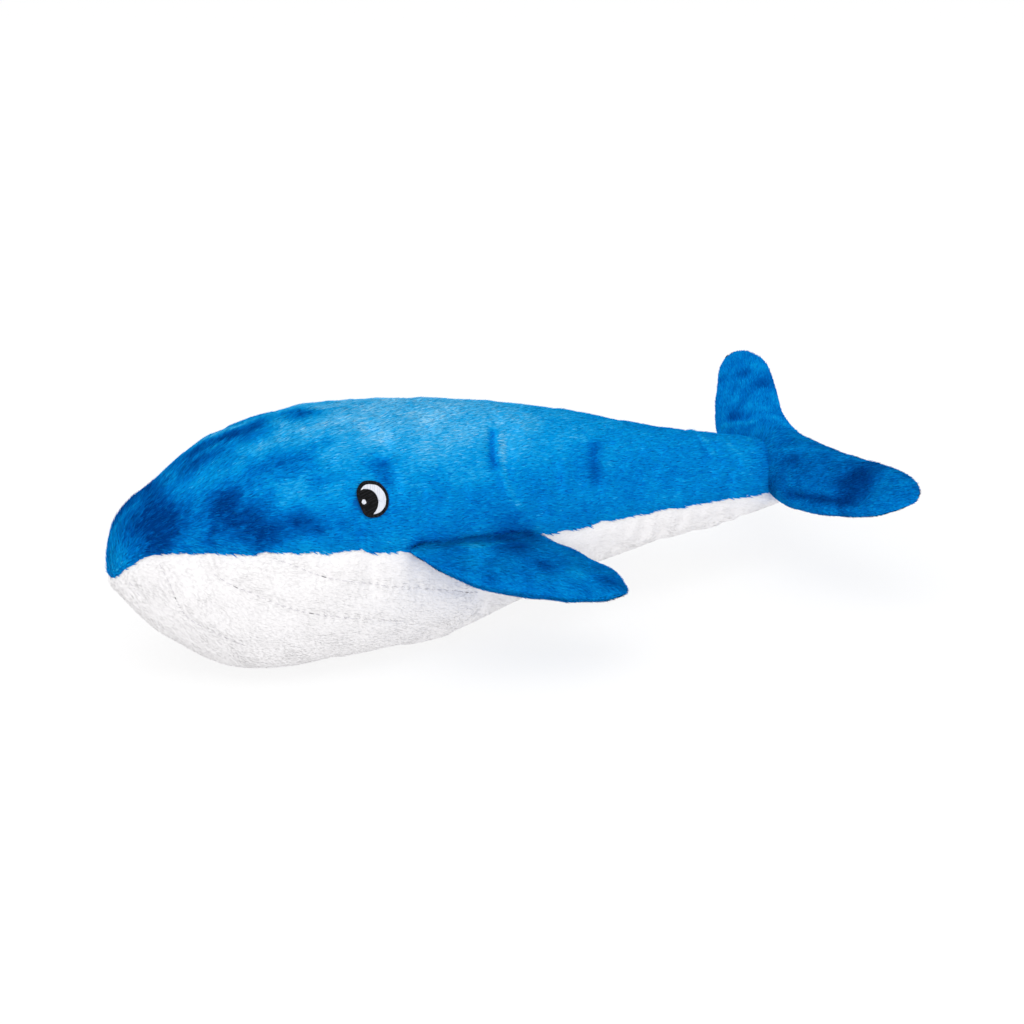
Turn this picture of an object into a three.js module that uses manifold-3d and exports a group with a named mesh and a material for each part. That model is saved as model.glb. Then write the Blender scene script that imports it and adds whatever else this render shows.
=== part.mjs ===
// A plush whale, in millimetres: a stuffed body sewn from two back panels and a belly panel, two
// stuffed side fins, a stuffed tail fluke and two embroidered eyes. It lies on its belly at z = 0 with
// its nose towards -X and its left side towards -Y. The origin is the middle of the belly's flat.

import * as THREE from "three";
import { mergeVertices } from "three/addons/utils/BufferGeometryUtils.js";
import Module from "manifold-3d";

// Cloth and seams
const PLUSH_WALL = 3; // backing and pressed pile
const SEAM_GAP = 0.3; // between the two cloths of a seam
const FILL_GAP = 0.3; // between the cloth and the stuffing in it
const BODY_ALLOWANCE = 6; // a body seam's edges turn in this far past the wall
const LIMB_ALLOWANCE = 3; // the same on the fins and the fluke
const ALLOWANCE_PLY = 1.2; // thickness of one turned-in edge
const OVERRUN = 4; // how far a cutting shape runs past what it cuts

// Body
const BODY_LENGTH = 431; // nose to the end of the rounded tail stock
const BODY_HEIGHT = 145;
const BODY_WIDTH = 128;
const BELLY_FLAT_DEPTH = 0.5;
const NOSE_TO_REST = 130;
const BELLY_SQUARENESS = 2.25; // 2 is a round underside
const WIDEST_LEVEL_SHARE = 0.47;
const TAIL_STOCK_RADIUS = 20; // of the rounded end that the fluke turns on
const TAIL_AXIS_HEIGHT = 64;

// Side fins
const FIN_ROOT_FRONT = 158; // behind the nose
const FIN_ROOT_REAR = 239;
const FIN_ROOT_DROP = 3; // under the side seam that holds the fin
const FIN_ROOT_STANDOFF = 0.1; // from the body's side to the line that the fin turns about
const FIN_REACH = 65;
const FIN_THICKNESS = 21;
const FIN_DROOP = THREE.MathUtils.degToRad(10);

// Tail fluke
const FLUKE_SPAN = 228;
const FLUKE_CHORD = 40; // of a lobe, front to back
const FLUKE_THICKNESS = 17; // of a lobe
const FLUKE_PITCH = THREE.MathUtils.degToRad(35); // trailing edge up
const FLUKE_ROLL = THREE.MathUtils.degToRad(5.5); // right lobe up, as a stuffed toy settles
const FLUKE_LIP = THREE.MathUtils.degToRad(76); // how far it reaches round the tail stock's end
const FLUKE_CLEARANCE = 0.6; // to the tail stock's rounded end
const FLUKE_ROOT_CLEARANCE = 1.2; // from a lobe's inner face to the tail stock's side

// Eyes
const EYE_BEHIND_NOSE = 134.5;
const EYE_ABOVE_FLOOR = 107;
const EYE_LENGTH = 18.5;
const EYE_HEIGHT = 19; // seen square from the side
const EYE_OUTLINE_WIDTH = 1.9;
const EYE_THREAD = 1.2; // thickness of the embroidery
const EYE_LIFT = 0.3; // from the plush to the embroidery
const THREAD_GAP = 0.3;
const GLINT_RADIUS = 1.5;

// How thin a drawn-in form gets, as a share of its outer thickness
const THINNEST_SHARE = 0.04;

// Mesh fineness
const BODY_SIDES = 28;
const BODY_ROWS = 24;
const LIMB_SIDES = 14;
const FIN_ROWS = 11;
const FLUKE_ROWS = 22;
const LINING_SHARE = 0.64; // of the sides and rows, in the surfaces that don't show
const SEAM_STEPS = 26;
const ROUND_SIDES = 20;

// The body's back line, belly line and half width, from the nose to the tail's end at equal steps of a
// half turn: back and belly as shares of the height, half width as shares of half the width.
const BACK_SHARES = [0.455, 0.68, 0.789, 0.921, 0.988, 0.983, 0.927, 0.84, 0.73, 0.644, 0.59, 0.548, 0.441];
const KEEL_SHARES = [0.455, 0.331, 0.164, 0.024, -0.012, -0.04, 0.05, 0.158, 0.231, 0.262, 0.3, 0.335, 0.441];
const GIRTH_SHARES = [0, 0.303, 0.558, 0.855, 0.995, 0.965, 0.808, 0.68, 0.516, 0.408, 0.356, 0.234, 0];

// The seam between the back panels and the belly panel: how far behind the nose, as shares of the
// body's length, and how high, as shares of its height.
const SEAM_SHARES = [
  [-0.03, 0.41], [0, 0.455], [0.013, 0.52], [0.036, 0.578], [0.08, 0.592], [0.16, 0.594], [0.26, 0.57],
  [0.33, 0.535], [0.4, 0.5], [0.54, 0.452], [0.66, 0.438], [0.78, 0.415], [0.88, 0.395], [1.02, 0.375],
];

// A fin from its root to its tip at equal steps of a half turn: front edge and rear edge as shares of
// the root's length, thickness as a share of the fin's.
const FIN_FRONT_SHARES = [0.5, 0.0, -0.02, 0.06, 0.23, 0.46, 0.67, 0.86, 1.1];
const FIN_REAR_SHARES = [0.5, 1.02, 1.09, 1.1, 1.17, 1.24, 1.23, 1.2, 1.1];
const FIN_THICKNESS_SHARES = [0.0, 0.16, 0.68, 0.96, 1.0, 0.92, 0.72, 0.46, 0.0];

// The fluke from its middle to a tip at equal steps of a quarter turn: leading and trailing edge
// behind the hinge line as shares of the chord, thickness as a share of the fluke's.
const FLUKE_LEADING_SHARES = [-0.46, -0.3, -0.06, 0.25, 0.535, 0.75, 0.9];
const FLUKE_TRAILING_SHARES = [0.75, 0.83, 1.06, 1.26, 1.27, 1.19, 0.9];
const FLUKE_THICKNESS_SHARES = [2.44, 1.93, 1.39, 1.0, 0.8, 0.42, 0.0];

// The eye's outline round its middle, as shares of half its length and half its height.
const EYE_SHARES = [
  [-0.98, 0.62], [-0.6, 0.93], [0, 1], [0.68, 0.76], [1, 0], [0.66, -0.78], [0, -1], [-0.42, -0.94],
  [-0.8, -0.3],
];
const PUPIL_CENTRE_SHARES = [-0.27, -0.1];
const PUPIL_SIZE_SHARES = [0.5, 0.68];
const GLINT_CENTRE_SHARES = [-0.42, -0.1];

// Colours and finishes
const BLUE_PLUSH = { color: 0x0f86d2, roughness: 0.95, metalness: 0 };
const WHITE_PLUSH = { color: 0xf1eff0, roughness: 0.95, metalness: 0 };
const STUFFING = { color: 0xf6f5f2, roughness: 1, metalness: 0 };
const BLACK_THREAD = { color: 0x14151a, roughness: 0.6, metalness: 0 };
const WHITE_THREAD = { color: 0xf7f7f7, roughness: 0.6, metalness: 0 };

const wasm = await Module();
wasm.setup();

// A geometry as a solid, with its shared points merged.
function solid(geometry) {
  geometry.deleteAttribute("normal");
  geometry.deleteAttribute("uv");
  const merged = mergeVertices(geometry);
  return new wasm.Manifold(new wasm.Mesh({
    numProp: 3,
    vertProperties: merged.attributes.position.array,
    triVerts: new Uint32Array(merged.index.array),
  }));
}

// A solid as a named mesh in its own material.
function piece(name, body, finish) {
  const { numProp, numVert, vertProperties, triVerts } = body.getMesh();
  const points = new Float32Array(numVert * 3);
  for (let i = 0; i < numVert; i++) points.set(vertProperties.subarray(i * numProp, i * numProp + 3), i * 3);
  const geometry = new THREE.BufferGeometry();
  geometry.setAttribute("position", new THREE.BufferAttribute(points, 3));
  geometry.setIndex(new THREE.BufferAttribute(triVerts, 1));
  geometry.computeVertexNormals();
  const mesh = new THREE.Mesh(geometry, new THREE.MeshStandardMaterial(finish));
  mesh.name = name;
  return mesh;
}

// Tables of shares as one smooth curve from 0 to 1, one value for each table.
function smoothTable(...tables) {
  const steps = tables[0].length - 1;
  const places = tables[0].map((_, i) => i / steps);
  const values = tables[0].flatMap((_, i) => tables.map((table) => table[i]));
  const curve = new THREE.CubicInterpolant(places, values, tables.length);
  return (share) => Array.from(curve.evaluate(share));
}

// A closed form made from a ball: place(along, turn) puts the point of the row at the share along
// (0 at one pole, 1 at the other) and at the angle turn round the form. A drawn-in form is plainer.
function form(sides, rows, inset, place) {
  const fineness = inset > 0 ? LINING_SHARE : 1;
  const ball = new THREE.SphereGeometry(1, 2 * Math.round(sides * fineness / 2), Math.round(rows * fineness));
  const { position, uv } = ball.attributes;
  for (let i = 0; i < position.count; i++) {
    const spot = place(1 - uv.getY(i), uv.getX(i) * 2 * Math.PI);
    position.setXYZ(i, spot.x, spot.y, spot.z);
  }
  return solid(ball);
}

// How far along a form of the given length a row lies: rows bunch up at its round ends.
function rowPlace(along, length, inset) {
  return length / 2 - (length / 2 - inset) * Math.cos(Math.PI * along);
}

// A half size less its inset, never closed up altogether, and still zero at a pole.
function drawnIn(half, inset) {
  const change = Math.sign(inset) * Math.min(Math.abs(inset), half);
  return Math.max(half - change, half * THINNEST_SHARE);
}

// One coordinate of a superellipse of the given squareness.
function bowed(value, squareness) {
  return Math.sign(value) * Math.abs(value) ** (2 / squareness);
}

// A stuffed form's panels and stuffing. shape(inset) is the form's surface drawn in by inset,
// seam(thickness) is the seam's path as a sheet, opening(gap) is what is left out of the form.
// The panels' edges turn in along the seam, and the stuffing has slots for them.
function sewn(shape, seam, allowance, opening) {
  const leftOut = (body, gap) => (opening ? body.subtract(opening(gap)) : body);
  const turnedIn = shape(PLUSH_WALL / 2)
    .subtract(shape(PLUSH_WALL + allowance))
    .intersect(seam(SEAM_GAP + 2 * ALLOWANCE_PLY));
  const cloth = leftOut(shape(0).subtract(shape(PLUSH_WALL)).add(turnedIn), 0);
  const slots = seam(SEAM_GAP + 2 * ALLOWANCE_PLY + 2 * FILL_GAP)
    .subtract(shape(PLUSH_WALL + allowance + FILL_GAP));
  const panels = cloth.subtract(seam(SEAM_GAP)).decompose();
  panels.sort((a, b) => b.volume() - a.volume());
  return { panels, fill: leftOut(shape(PLUSH_WALL + FILL_GAP).subtract(slots), FILL_GAP) };
}

// The middle of a solid's box.
function middle(body) {
  const { min, max } = body.boundingBox();
  return new THREE.Vector3(...min).add(new THREE.Vector3(...max)).divideScalar(2);
}

const bodyTable = smoothTable(BACK_SHARES, KEEL_SHARES, GIRTH_SHARES);

// The body's section at the share along it: its widest level, its half width, and its reach above
// and below that level.
function bodySection(along) {
  const [back, keel, girth] = bodyTable(along);
  const top = back * BODY_HEIGHT;
  const bottom = Math.max(keel * BODY_HEIGHT, -BELLY_FLAT_DEPTH);
  const level = bottom + (top - bottom) * WIDEST_LEVEL_SHARE;
  return { level, halfWidth: girth * BODY_WIDTH / 2, above: top - level, below: level - bottom };
}

// A point of the body's surface, drawn in by inset.
function bodyPoint(along, turn, inset) {
  const { level, halfWidth, above, below } = bodySection(along);
  const rise = Math.sin(turn);
  const squareness = rise < 0 ? BELLY_SQUARENESS : 2;
  const reach = drawnIn(rise < 0 ? below : above, inset);
  return new THREE.Vector3(
    rowPlace(along, BODY_LENGTH, inset) - NOSE_TO_REST,
    -drawnIn(halfWidth, inset) * bowed(Math.cos(turn), squareness),
    level + reach * bowed(rise, squareness),
  );
}

function bodyForm(inset) {
  return form(BODY_SIDES, BODY_ROWS, inset, (along, turn) => bodyPoint(along, turn, inset));
}

// How far the body's side stands out from its middle, at a distance behind the nose and a height.
function bodySide(behindNose, height) {
  const along = Math.acos(1 - 2 * behindNose / BODY_LENGTH) / Math.PI;
  const { level, halfWidth, above, below } = bodySection(along);
  const squareness = height < level ? BELLY_SQUARENESS : 2;
  const rise = Math.abs(height - level) / (height < level ? below : above);
  return halfWidth * (1 - rise ** squareness) ** (1 / squareness);
}

// A shape drawn in the side view, as a slab from one side of the body to the other.
function sideSlab(shape, width) {
  const slab = new THREE.ExtrudeGeometry(shape, { depth: width, bevelEnabled: false });
  slab.rotateX(Math.PI / 2).translate(0, width / 2, 0);
  return solid(slab);
}

// The side seam's path in the side view, moved square to itself by offset.
function seamPath(offset) {
  const path = new THREE.SplineCurve(SEAM_SHARES.map(([behind, height]) =>
    new THREE.Vector2(behind * BODY_LENGTH - NOSE_TO_REST, height * BODY_HEIGHT)));
  return Array.from({ length: SEAM_STEPS + 1 }, (_, i) => {
    const spot = path.getPoint(i / SEAM_STEPS);
    const run = path.getTangent(i / SEAM_STEPS);
    return spot.add(new THREE.Vector2(-run.y, run.x).multiplyScalar(offset));
  });
}

// The side seam's height, at a distance behind the nose.
function seamHeight(behindNose) {
  const spots = seamPath(0);
  const next = spots.findIndex(({ x }) => x > behindNose - NOSE_TO_REST);
  const [a, b] = [spots[next - 1], spots[next]];
  return THREE.MathUtils.mapLinear(behindNose - NOSE_TO_REST, a.x, b.x, a.y, b.y);
}

// The seams of the body as sheets: the side seam right round, and the back seam above it.
function bodySeam(thickness) {
  const upper = seamPath(thickness / 2);
  const lower = seamPath(-thickness / 2);
  const side = sideSlab(new THREE.Shape([...lower, ...upper.toReversed()]), BODY_WIDTH + 2 * OVERRUN);
  const roof = BODY_HEIGHT + OVERRUN;
  const above = new THREE.Shape([
    ...upper,
    new THREE.Vector2(upper.at(-1).x, roof),
    new THREE.Vector2(upper[0].x, roof),
  ]);
  return side.add(sideSlab(above, thickness));
}

// What is under the floor, which flattens the belly.
function underFloor() {
  const box = new THREE.BoxGeometry(BODY_LENGTH, BODY_WIDTH, OVERRUN);
  box.translate(BODY_LENGTH / 2 - NOSE_TO_REST, 0, -OVERRUN / 2);
  return solid(box);
}

function makeBody() {
  const { panels, fill } = sewn(bodyForm, bodySeam, BODY_ALLOWANCE, underFloor);
  const [belly, ...backs] = panels.slice(0, 3).sort((a, b) => middle(a).z - middle(b).z);
  const [left, right] = backs.sort((a, b) => middle(a).y - middle(b).y);
  const group = new THREE.Group();
  group.add(
    piece("back_panel_left", left, BLUE_PLUSH),
    piece("back_panel_right", right, BLUE_PLUSH),
    piece("belly_panel", belly, WHITE_PLUSH),
    piece("body_stuffing", fill, STUFFING),
  );
  return group;
}

const finTable = smoothTable(FIN_FRONT_SHARES, FIN_REAR_SHARES, FIN_THICKNESS_SHARES);

// A flat slab about a limb's middle plane, which its two panels meet at.
function middleSlab(length, width, thickness) {
  return solid(new THREE.BoxGeometry(2 * length, 2 * width, thickness));
}

// The frame of the fin on one side (-1 left, 1 right): X back along its root, Y outwards.
function finFrame(side) {
  const [front, rear] = [FIN_ROOT_FRONT, FIN_ROOT_REAR].map((behind) => {
    const height = seamHeight(behind) - FIN_ROOT_DROP;
    const out = bodySide(behind, height) + FIN_ROOT_STANDOFF;
    return new THREE.Vector3(behind - NOSE_TO_REST, side * out, height);
  });
  const root = rear.clone().sub(front);
  const back = root.clone().normalize();
  const level = new THREE.Vector3(-back.y, back.x, 0).normalize().multiplyScalar(side);
  const up = back.clone().cross(level).multiplyScalar(side);
  const out = level.multiplyScalar(Math.cos(FIN_DROOP)).addScaledVector(up, -Math.sin(FIN_DROOP));
  const place = new THREE.Matrix4().makeBasis(back, out, back.clone().cross(out)).setPosition(front);
  return { rootLength: root.length(), place };
}

function finForm(inset, rootLength) {
  return form(LIMB_SIDES, FIN_ROWS, inset, (along, turn) => {
    const [front, rear, thickness] = finTable(along);
    return new THREE.Vector3(
      (front + rear) * rootLength / 2 - drawnIn((rear - front) * rootLength / 2, inset) * Math.cos(turn),
      rowPlace(along, FIN_REACH, inset),
      -drawnIn(thickness * FIN_THICKNESS / 2, inset) * Math.sin(turn),
    );
  });
}

function makeFin(name, side) {
  const { rootLength, place } = finFrame(side);
  const shape = (inset) => finForm(inset, rootLength);
  const seam = (thickness) => middleSlab(2 * rootLength, 2 * FIN_REACH, thickness);
  const { panels, fill } = sewn(shape, seam, LIMB_ALLOWANCE);
  const [first, second] = panels.slice(0, 2).sort((a, b) => side * (middle(b).z - middle(a).z));
  const fin = new THREE.Group();
  fin.add(
    piece(`${name}_upper_panel`, first, BLUE_PLUSH),
    piece(`${name}_lower_panel`, second, BLUE_PLUSH),
    piece(`${name}_stuffing`, fill, STUFFING),
  );
  fin.applyMatrix4(place);
  return fin;
}

// A table of one lobe, from the middle out, as a table of both from tip to tip.
function bothLobes(shares) {
  return [...shares.slice(1).reverse(), ...shares];
}

const flukeTable = smoothTable(
  ...[FLUKE_LEADING_SHARES, FLUKE_TRAILING_SHARES, FLUKE_THICKNESS_SHARES].map(bothLobes));

// The fluke in its own frame: X back from the hinge line, Y along that line to the right, Z up.
function flukeForm(inset) {
  return form(LIMB_SIDES, FLUKE_ROWS, inset, (along, turn) => {
    const [leading, trailing, thickness] = flukeTable(along);
    return new THREE.Vector3(
      (leading + trailing) * FLUKE_CHORD / 2
        - drawnIn((trailing - leading) * FLUKE_CHORD / 2, inset) * Math.cos(turn),
      rowPlace(along, FLUKE_SPAN, inset) - FLUKE_SPAN / 2,
      -drawnIn(thickness * FLUKE_THICKNESS / 2, inset) * Math.sin(turn),
    );
  });
}

// The tail stock's room in the fluke: a round socket about the hinge line, open to the front far
// enough for the fluke to swing, and as wide as the stock.
function flukeSocket(gap) {
  const radius = TAIL_STOCK_RADIUS + FLUKE_CLEARANCE + gap;
  const far = FLUKE_SPAN / 2;
  const [low, high] = [-FLUKE_LIP - FLUKE_PITCH, FLUKE_LIP - FLUKE_PITCH];
  const at = (angle, reach) => new THREE.Vector2(reach * Math.cos(angle), reach * Math.sin(angle));
  const room = new THREE.Shape([at(high, far), at(Math.PI - FLUKE_PITCH, far), at(low, far)]);
  room.lineTo(...at(low, radius));
  room.absarc(0, 0, radius, low, high, false);
  return sideSlab(room, 2 * (flukeRootHalfWidth() + gap));
}

// Half the width between the lobes' inner faces: the stock's own where the fluke reaches past it.
function flukeRootHalfWidth() {
  const behindNose = BODY_LENGTH - 2 * TAIL_STOCK_RADIUS;
  return bodySide(behindNose, TAIL_AXIS_HEIGHT) + FLUKE_ROOT_CLEARANCE;
}

function makeFluke() {
  const seam = (thickness) => middleSlab(FLUKE_SPAN, FLUKE_SPAN, thickness);
  const { panels, fill } = sewn(flukeForm, seam, LIMB_ALLOWANCE, flukeSocket);
  const [lower, upper] = panels.slice(0, 2).sort((a, b) => middle(a).z - middle(b).z);
  const between = new THREE.BoxGeometry(FLUKE_SPAN, 2 * (flukeRootHalfWidth() + FILL_GAP), FLUKE_SPAN);
  const lobes = fill.subtract(solid(between)).decompose();
  const [left, right] = lobes.sort((a, b) => middle(a).y - middle(b).y);
  const fluke = new THREE.Group();
  fluke.add(
    piece("fluke_upper_panel", upper, BLUE_PLUSH),
    piece("fluke_lower_panel", lower, BLUE_PLUSH),
    piece("fluke_left_stuffing", left, STUFFING),
    piece("fluke_right_stuffing", right, STUFFING),
  );
  fluke.rotation.set(FLUKE_ROLL, -FLUKE_PITCH, 0);
  fluke.position.set(BODY_LENGTH - TAIL_STOCK_RADIUS - NOSE_TO_REST, 0, TAIL_AXIS_HEIGHT);
  return fluke;
}

// A closed curve as a shape in the side view.
function closedShape(curve) {
  return new THREE.Shape(curve.getPoints(ROUND_SIDES).slice(1).map(({ x, y }) => new THREE.Vector2(x, y)));
}

// The eye's outline in the side view, drawn in by inset.
function eyeShape(inset) {
  const spots = EYE_SHARES.map(([back, up]) => new THREE.Vector3(
    back * (EYE_LENGTH / 2 - inset), up * (EYE_HEIGHT / 2 - inset), 0));
  return closedShape(new THREE.CatmullRomCurve3(spots, true));
}

// A round or oval spot of the eye in the side view, placed by shares of the eye's halves.
function eyeSpot([back, up], halfLength, halfHeight) {
  return closedShape(new THREE.EllipseCurve(
    back * EYE_LENGTH / 2, up * EYE_HEIGHT / 2, halfLength, halfHeight));
}

// Both eyes: thin thread on the plush, each colour in the shape it has in the side view.
function makeEyes() {
  const thread = bodyForm(-EYE_LIFT - EYE_THREAD).subtract(bodyForm(-EYE_LIFT));
  const slab = (shape) => sideSlab(shape, BODY_WIDTH + 2 * OVERRUN);
  const inner = slab(eyeShape(EYE_OUTLINE_WIDTH + THREAD_GAP));
  const [pupilLength, pupilHeight] = [
    PUPIL_SIZE_SHARES[0] * EYE_LENGTH / 2, PUPIL_SIZE_SHARES[1] * EYE_HEIGHT / 2];
  const pupil = (gap) => slab(eyeSpot(PUPIL_CENTRE_SHARES, pupilLength + gap, pupilHeight + gap));
  const glint = (gap) => slab(eyeSpot(GLINT_CENTRE_SHARES, GLINT_RADIUS + gap, GLINT_RADIUS + gap));
  const layers = [
    ["outline", slab(eyeShape(0)).subtract(slab(eyeShape(EYE_OUTLINE_WIDTH))), BLACK_THREAD],
    ["white", inner.subtract(pupil(THREAD_GAP)), WHITE_THREAD],
    ["pupil", inner.intersect(pupil(0)).subtract(glint(THREAD_GAP)), BLACK_THREAD],
    ["glint", glint(0), WHITE_THREAD],
  ];
  const eyes = new THREE.Group();
  for (const [name, area, finish] of layers) {
    const place = [EYE_BEHIND_NOSE - NOSE_TO_REST, 0, EYE_ABOVE_FLOOR];
    const pair = area.translate(place).intersect(thread).decompose();
    const [left, right] = pair.sort((a, b) => middle(a).y - middle(b).y);
    eyes.add(piece(`eye_left_${name}`, left, finish), piece(`eye_right_${name}`, right, finish));
  }
  return eyes;
}

const whale = new THREE.Group();
whale.add(makeBody(), makeFin("fin_left", -1), makeFin("fin_right", 1), makeFluke(), makeEyes());
export default whale;
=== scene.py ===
"""A plush whale: blue plush back, white plush belly, two fins, a fluke and embroidered eyes.

Lengths are in metres. The whale lies with its nose towards -X, its left side towards -Y and its belly
on z = 0, and the origin is the middle of the flat that it rests on.
"""

from __future__ import annotations

import logging
import math
from dataclasses import dataclass
from enum import Enum
from typing import Callable, Sequence

import bmesh
import bpy
import numpy as np
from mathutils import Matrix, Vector
from mathutils.kdtree import KDTree


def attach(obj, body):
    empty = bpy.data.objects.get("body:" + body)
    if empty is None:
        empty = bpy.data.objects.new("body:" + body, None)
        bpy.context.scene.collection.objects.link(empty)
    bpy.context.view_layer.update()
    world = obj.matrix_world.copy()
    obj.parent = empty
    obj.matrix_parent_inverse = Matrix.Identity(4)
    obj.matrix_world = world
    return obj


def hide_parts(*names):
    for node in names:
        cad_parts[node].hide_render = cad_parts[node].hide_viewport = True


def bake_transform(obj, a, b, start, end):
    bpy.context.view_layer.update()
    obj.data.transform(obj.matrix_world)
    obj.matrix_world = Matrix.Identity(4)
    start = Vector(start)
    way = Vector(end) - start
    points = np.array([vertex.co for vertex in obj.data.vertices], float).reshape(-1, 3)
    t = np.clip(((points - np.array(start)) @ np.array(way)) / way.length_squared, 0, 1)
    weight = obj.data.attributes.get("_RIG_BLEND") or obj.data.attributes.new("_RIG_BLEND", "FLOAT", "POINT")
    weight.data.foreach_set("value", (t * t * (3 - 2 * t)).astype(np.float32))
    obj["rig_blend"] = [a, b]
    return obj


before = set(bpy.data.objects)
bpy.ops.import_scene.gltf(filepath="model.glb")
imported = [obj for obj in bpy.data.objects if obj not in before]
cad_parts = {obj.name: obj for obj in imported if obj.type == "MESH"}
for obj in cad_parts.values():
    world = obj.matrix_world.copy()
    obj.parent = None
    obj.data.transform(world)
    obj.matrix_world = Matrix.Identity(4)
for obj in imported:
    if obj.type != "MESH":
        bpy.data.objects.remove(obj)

log = logging.getLogger("plush_whale")

MM = 0.001
OVER_FLOOR = 0.1 * MM  # between the floor and the cloth that rests on it
LEAST_SHARE = 0.04  # what an inset leaves of a size, at the least
Place = tuple[float, float, float]


# Curves and small sums

def eased(values: Sequence | np.ndarray, place: np.ndarray) -> np.ndarray:
    """Reads a table of values at equal steps as one smooth curve.

    Args:
        values: One value, or one row of values, for each step from 0 to 1.
        place: Where to read it, from 0 to 1.

    Returns:
        The curve's values, with the shape of place followed by that of one value.
    """
    table = np.asarray(values, float)
    last = len(table) - 2
    spot = np.clip(place, 0, 1) * (last + 1)
    start = np.minimum(spot.astype(int), last)
    p = spot - start
    before = np.where(start == 0, 1, start - 1)
    after = np.where(start == last, start, start + 2)
    lead = np.where(start == 0, -0.5, 0.5)
    trail = np.where(start == last, -0.5, 0.5)
    weights = (
        (-lead * p**3 + 2 * lead * p**2 - lead * p, before),
        ((1 + lead) * p**3 - (1.5 + 2 * lead) * p**2 + (lead - 0.5) * p + 1, start),
        ((-1 - trail) * p**3 + (1.5 + trail) * p**2 + 0.5 * p, start + 1),
        (trail * p**3 - trail * p**2, after),
    )
    extra = (None,) * (table.ndim - 1)
    return sum(weight[(..., *extra)] * table[index] for weight, index in weights)


def bowed(value: np.ndarray, squareness: float | np.ndarray) -> np.ndarray:
    """Gives one coordinate of a superellipse of the given squareness (2 is an ellipse)."""
    return np.sign(value) * np.abs(value) ** (2 / squareness)


def unit(vectors: np.ndarray) -> np.ndarray:
    """Gives vectors the length 1."""
    return vectors / np.maximum(np.linalg.norm(vectors, axis=-1, keepdims=True), 1e-12)


def lengths(vectors: np.ndarray) -> np.ndarray:
    """Measures vectors."""
    return np.linalg.norm(vectors, axis=-1)


def run_along(path: np.ndarray) -> np.ndarray:
    """Measures the way along a path from its start to each of its points."""
    return np.concatenate([[0], np.cumsum(lengths(np.diff(path, axis=0)))])


def run_across(points: np.ndarray) -> np.ndarray:
    """Measures the way across a grid of points, from its first column to each point."""
    steps = lengths(np.diff(points, axis=1))
    return np.concatenate([np.zeros((len(points), 1)), np.cumsum(steps, axis=1)], axis=1)


def bell(distance: np.ndarray, width: float) -> np.ndarray:
    """Gives a soft hump: 1 where the distance is nothing, and fading over the width."""
    return np.exp(-((distance / width) ** 2))


def thinned(size: np.ndarray, inset: float) -> np.ndarray:
    """Draws a size in by an inset, but never to nothing."""
    return np.maximum(size - inset, LEAST_SHARE * size)


def waves(points: np.ndarray, length: float, seed: int, count: int = 14) -> np.ndarray:
    """Gives soft, irregular lumps between about -1 and 1.

    Args:
        points: Where to read them.
        length: Mean distance from lump to lump.
        seed: Which lumps.
        count: How many plane waves they are made of.

    Returns:
        One value for each point.
    """
    random = np.random.default_rng(seed)
    ways = unit(random.normal(size=(count, 3))) * random.uniform(0.7, 1.5, (count, 1))
    phases = random.uniform(0, 2 * math.pi, count)
    sums = sum(np.sin(points @ way * (2 * math.pi / length) + phase) for way, phase in zip(ways, phases))
    return sums / math.sqrt(count / 2) / 1.6


def distance_to_path(points: np.ndarray, path: np.ndarray) -> np.ndarray:
    """Measures how far points are from a path of straight pieces.

    Args:
        points: The points, in an array of any shape that ends in 3.
        path: The path's corners.

    Returns:
        The distance of each point.
    """
    nearest = np.full(points.shape[:-1], np.inf)
    for start, end in zip(path[:-1], path[1:]):
        way = end - start
        share = np.clip((points - start) @ way / max(way @ way, 1e-18), 0, 1)
        nearest = np.minimum(nearest, lengths(points - start - share[..., None] * way))
    return nearest


def through(corners: Sequence[Place] | np.ndarray, steps: int) -> np.ndarray:
    """Draws a smooth path through corners, as many points as steps."""
    return eased(np.asarray(corners, float), np.linspace(0, 1, steps))


# Shapes: the solids', with the limbs' outlines, the nose and the underside of the tail a little finer

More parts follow.
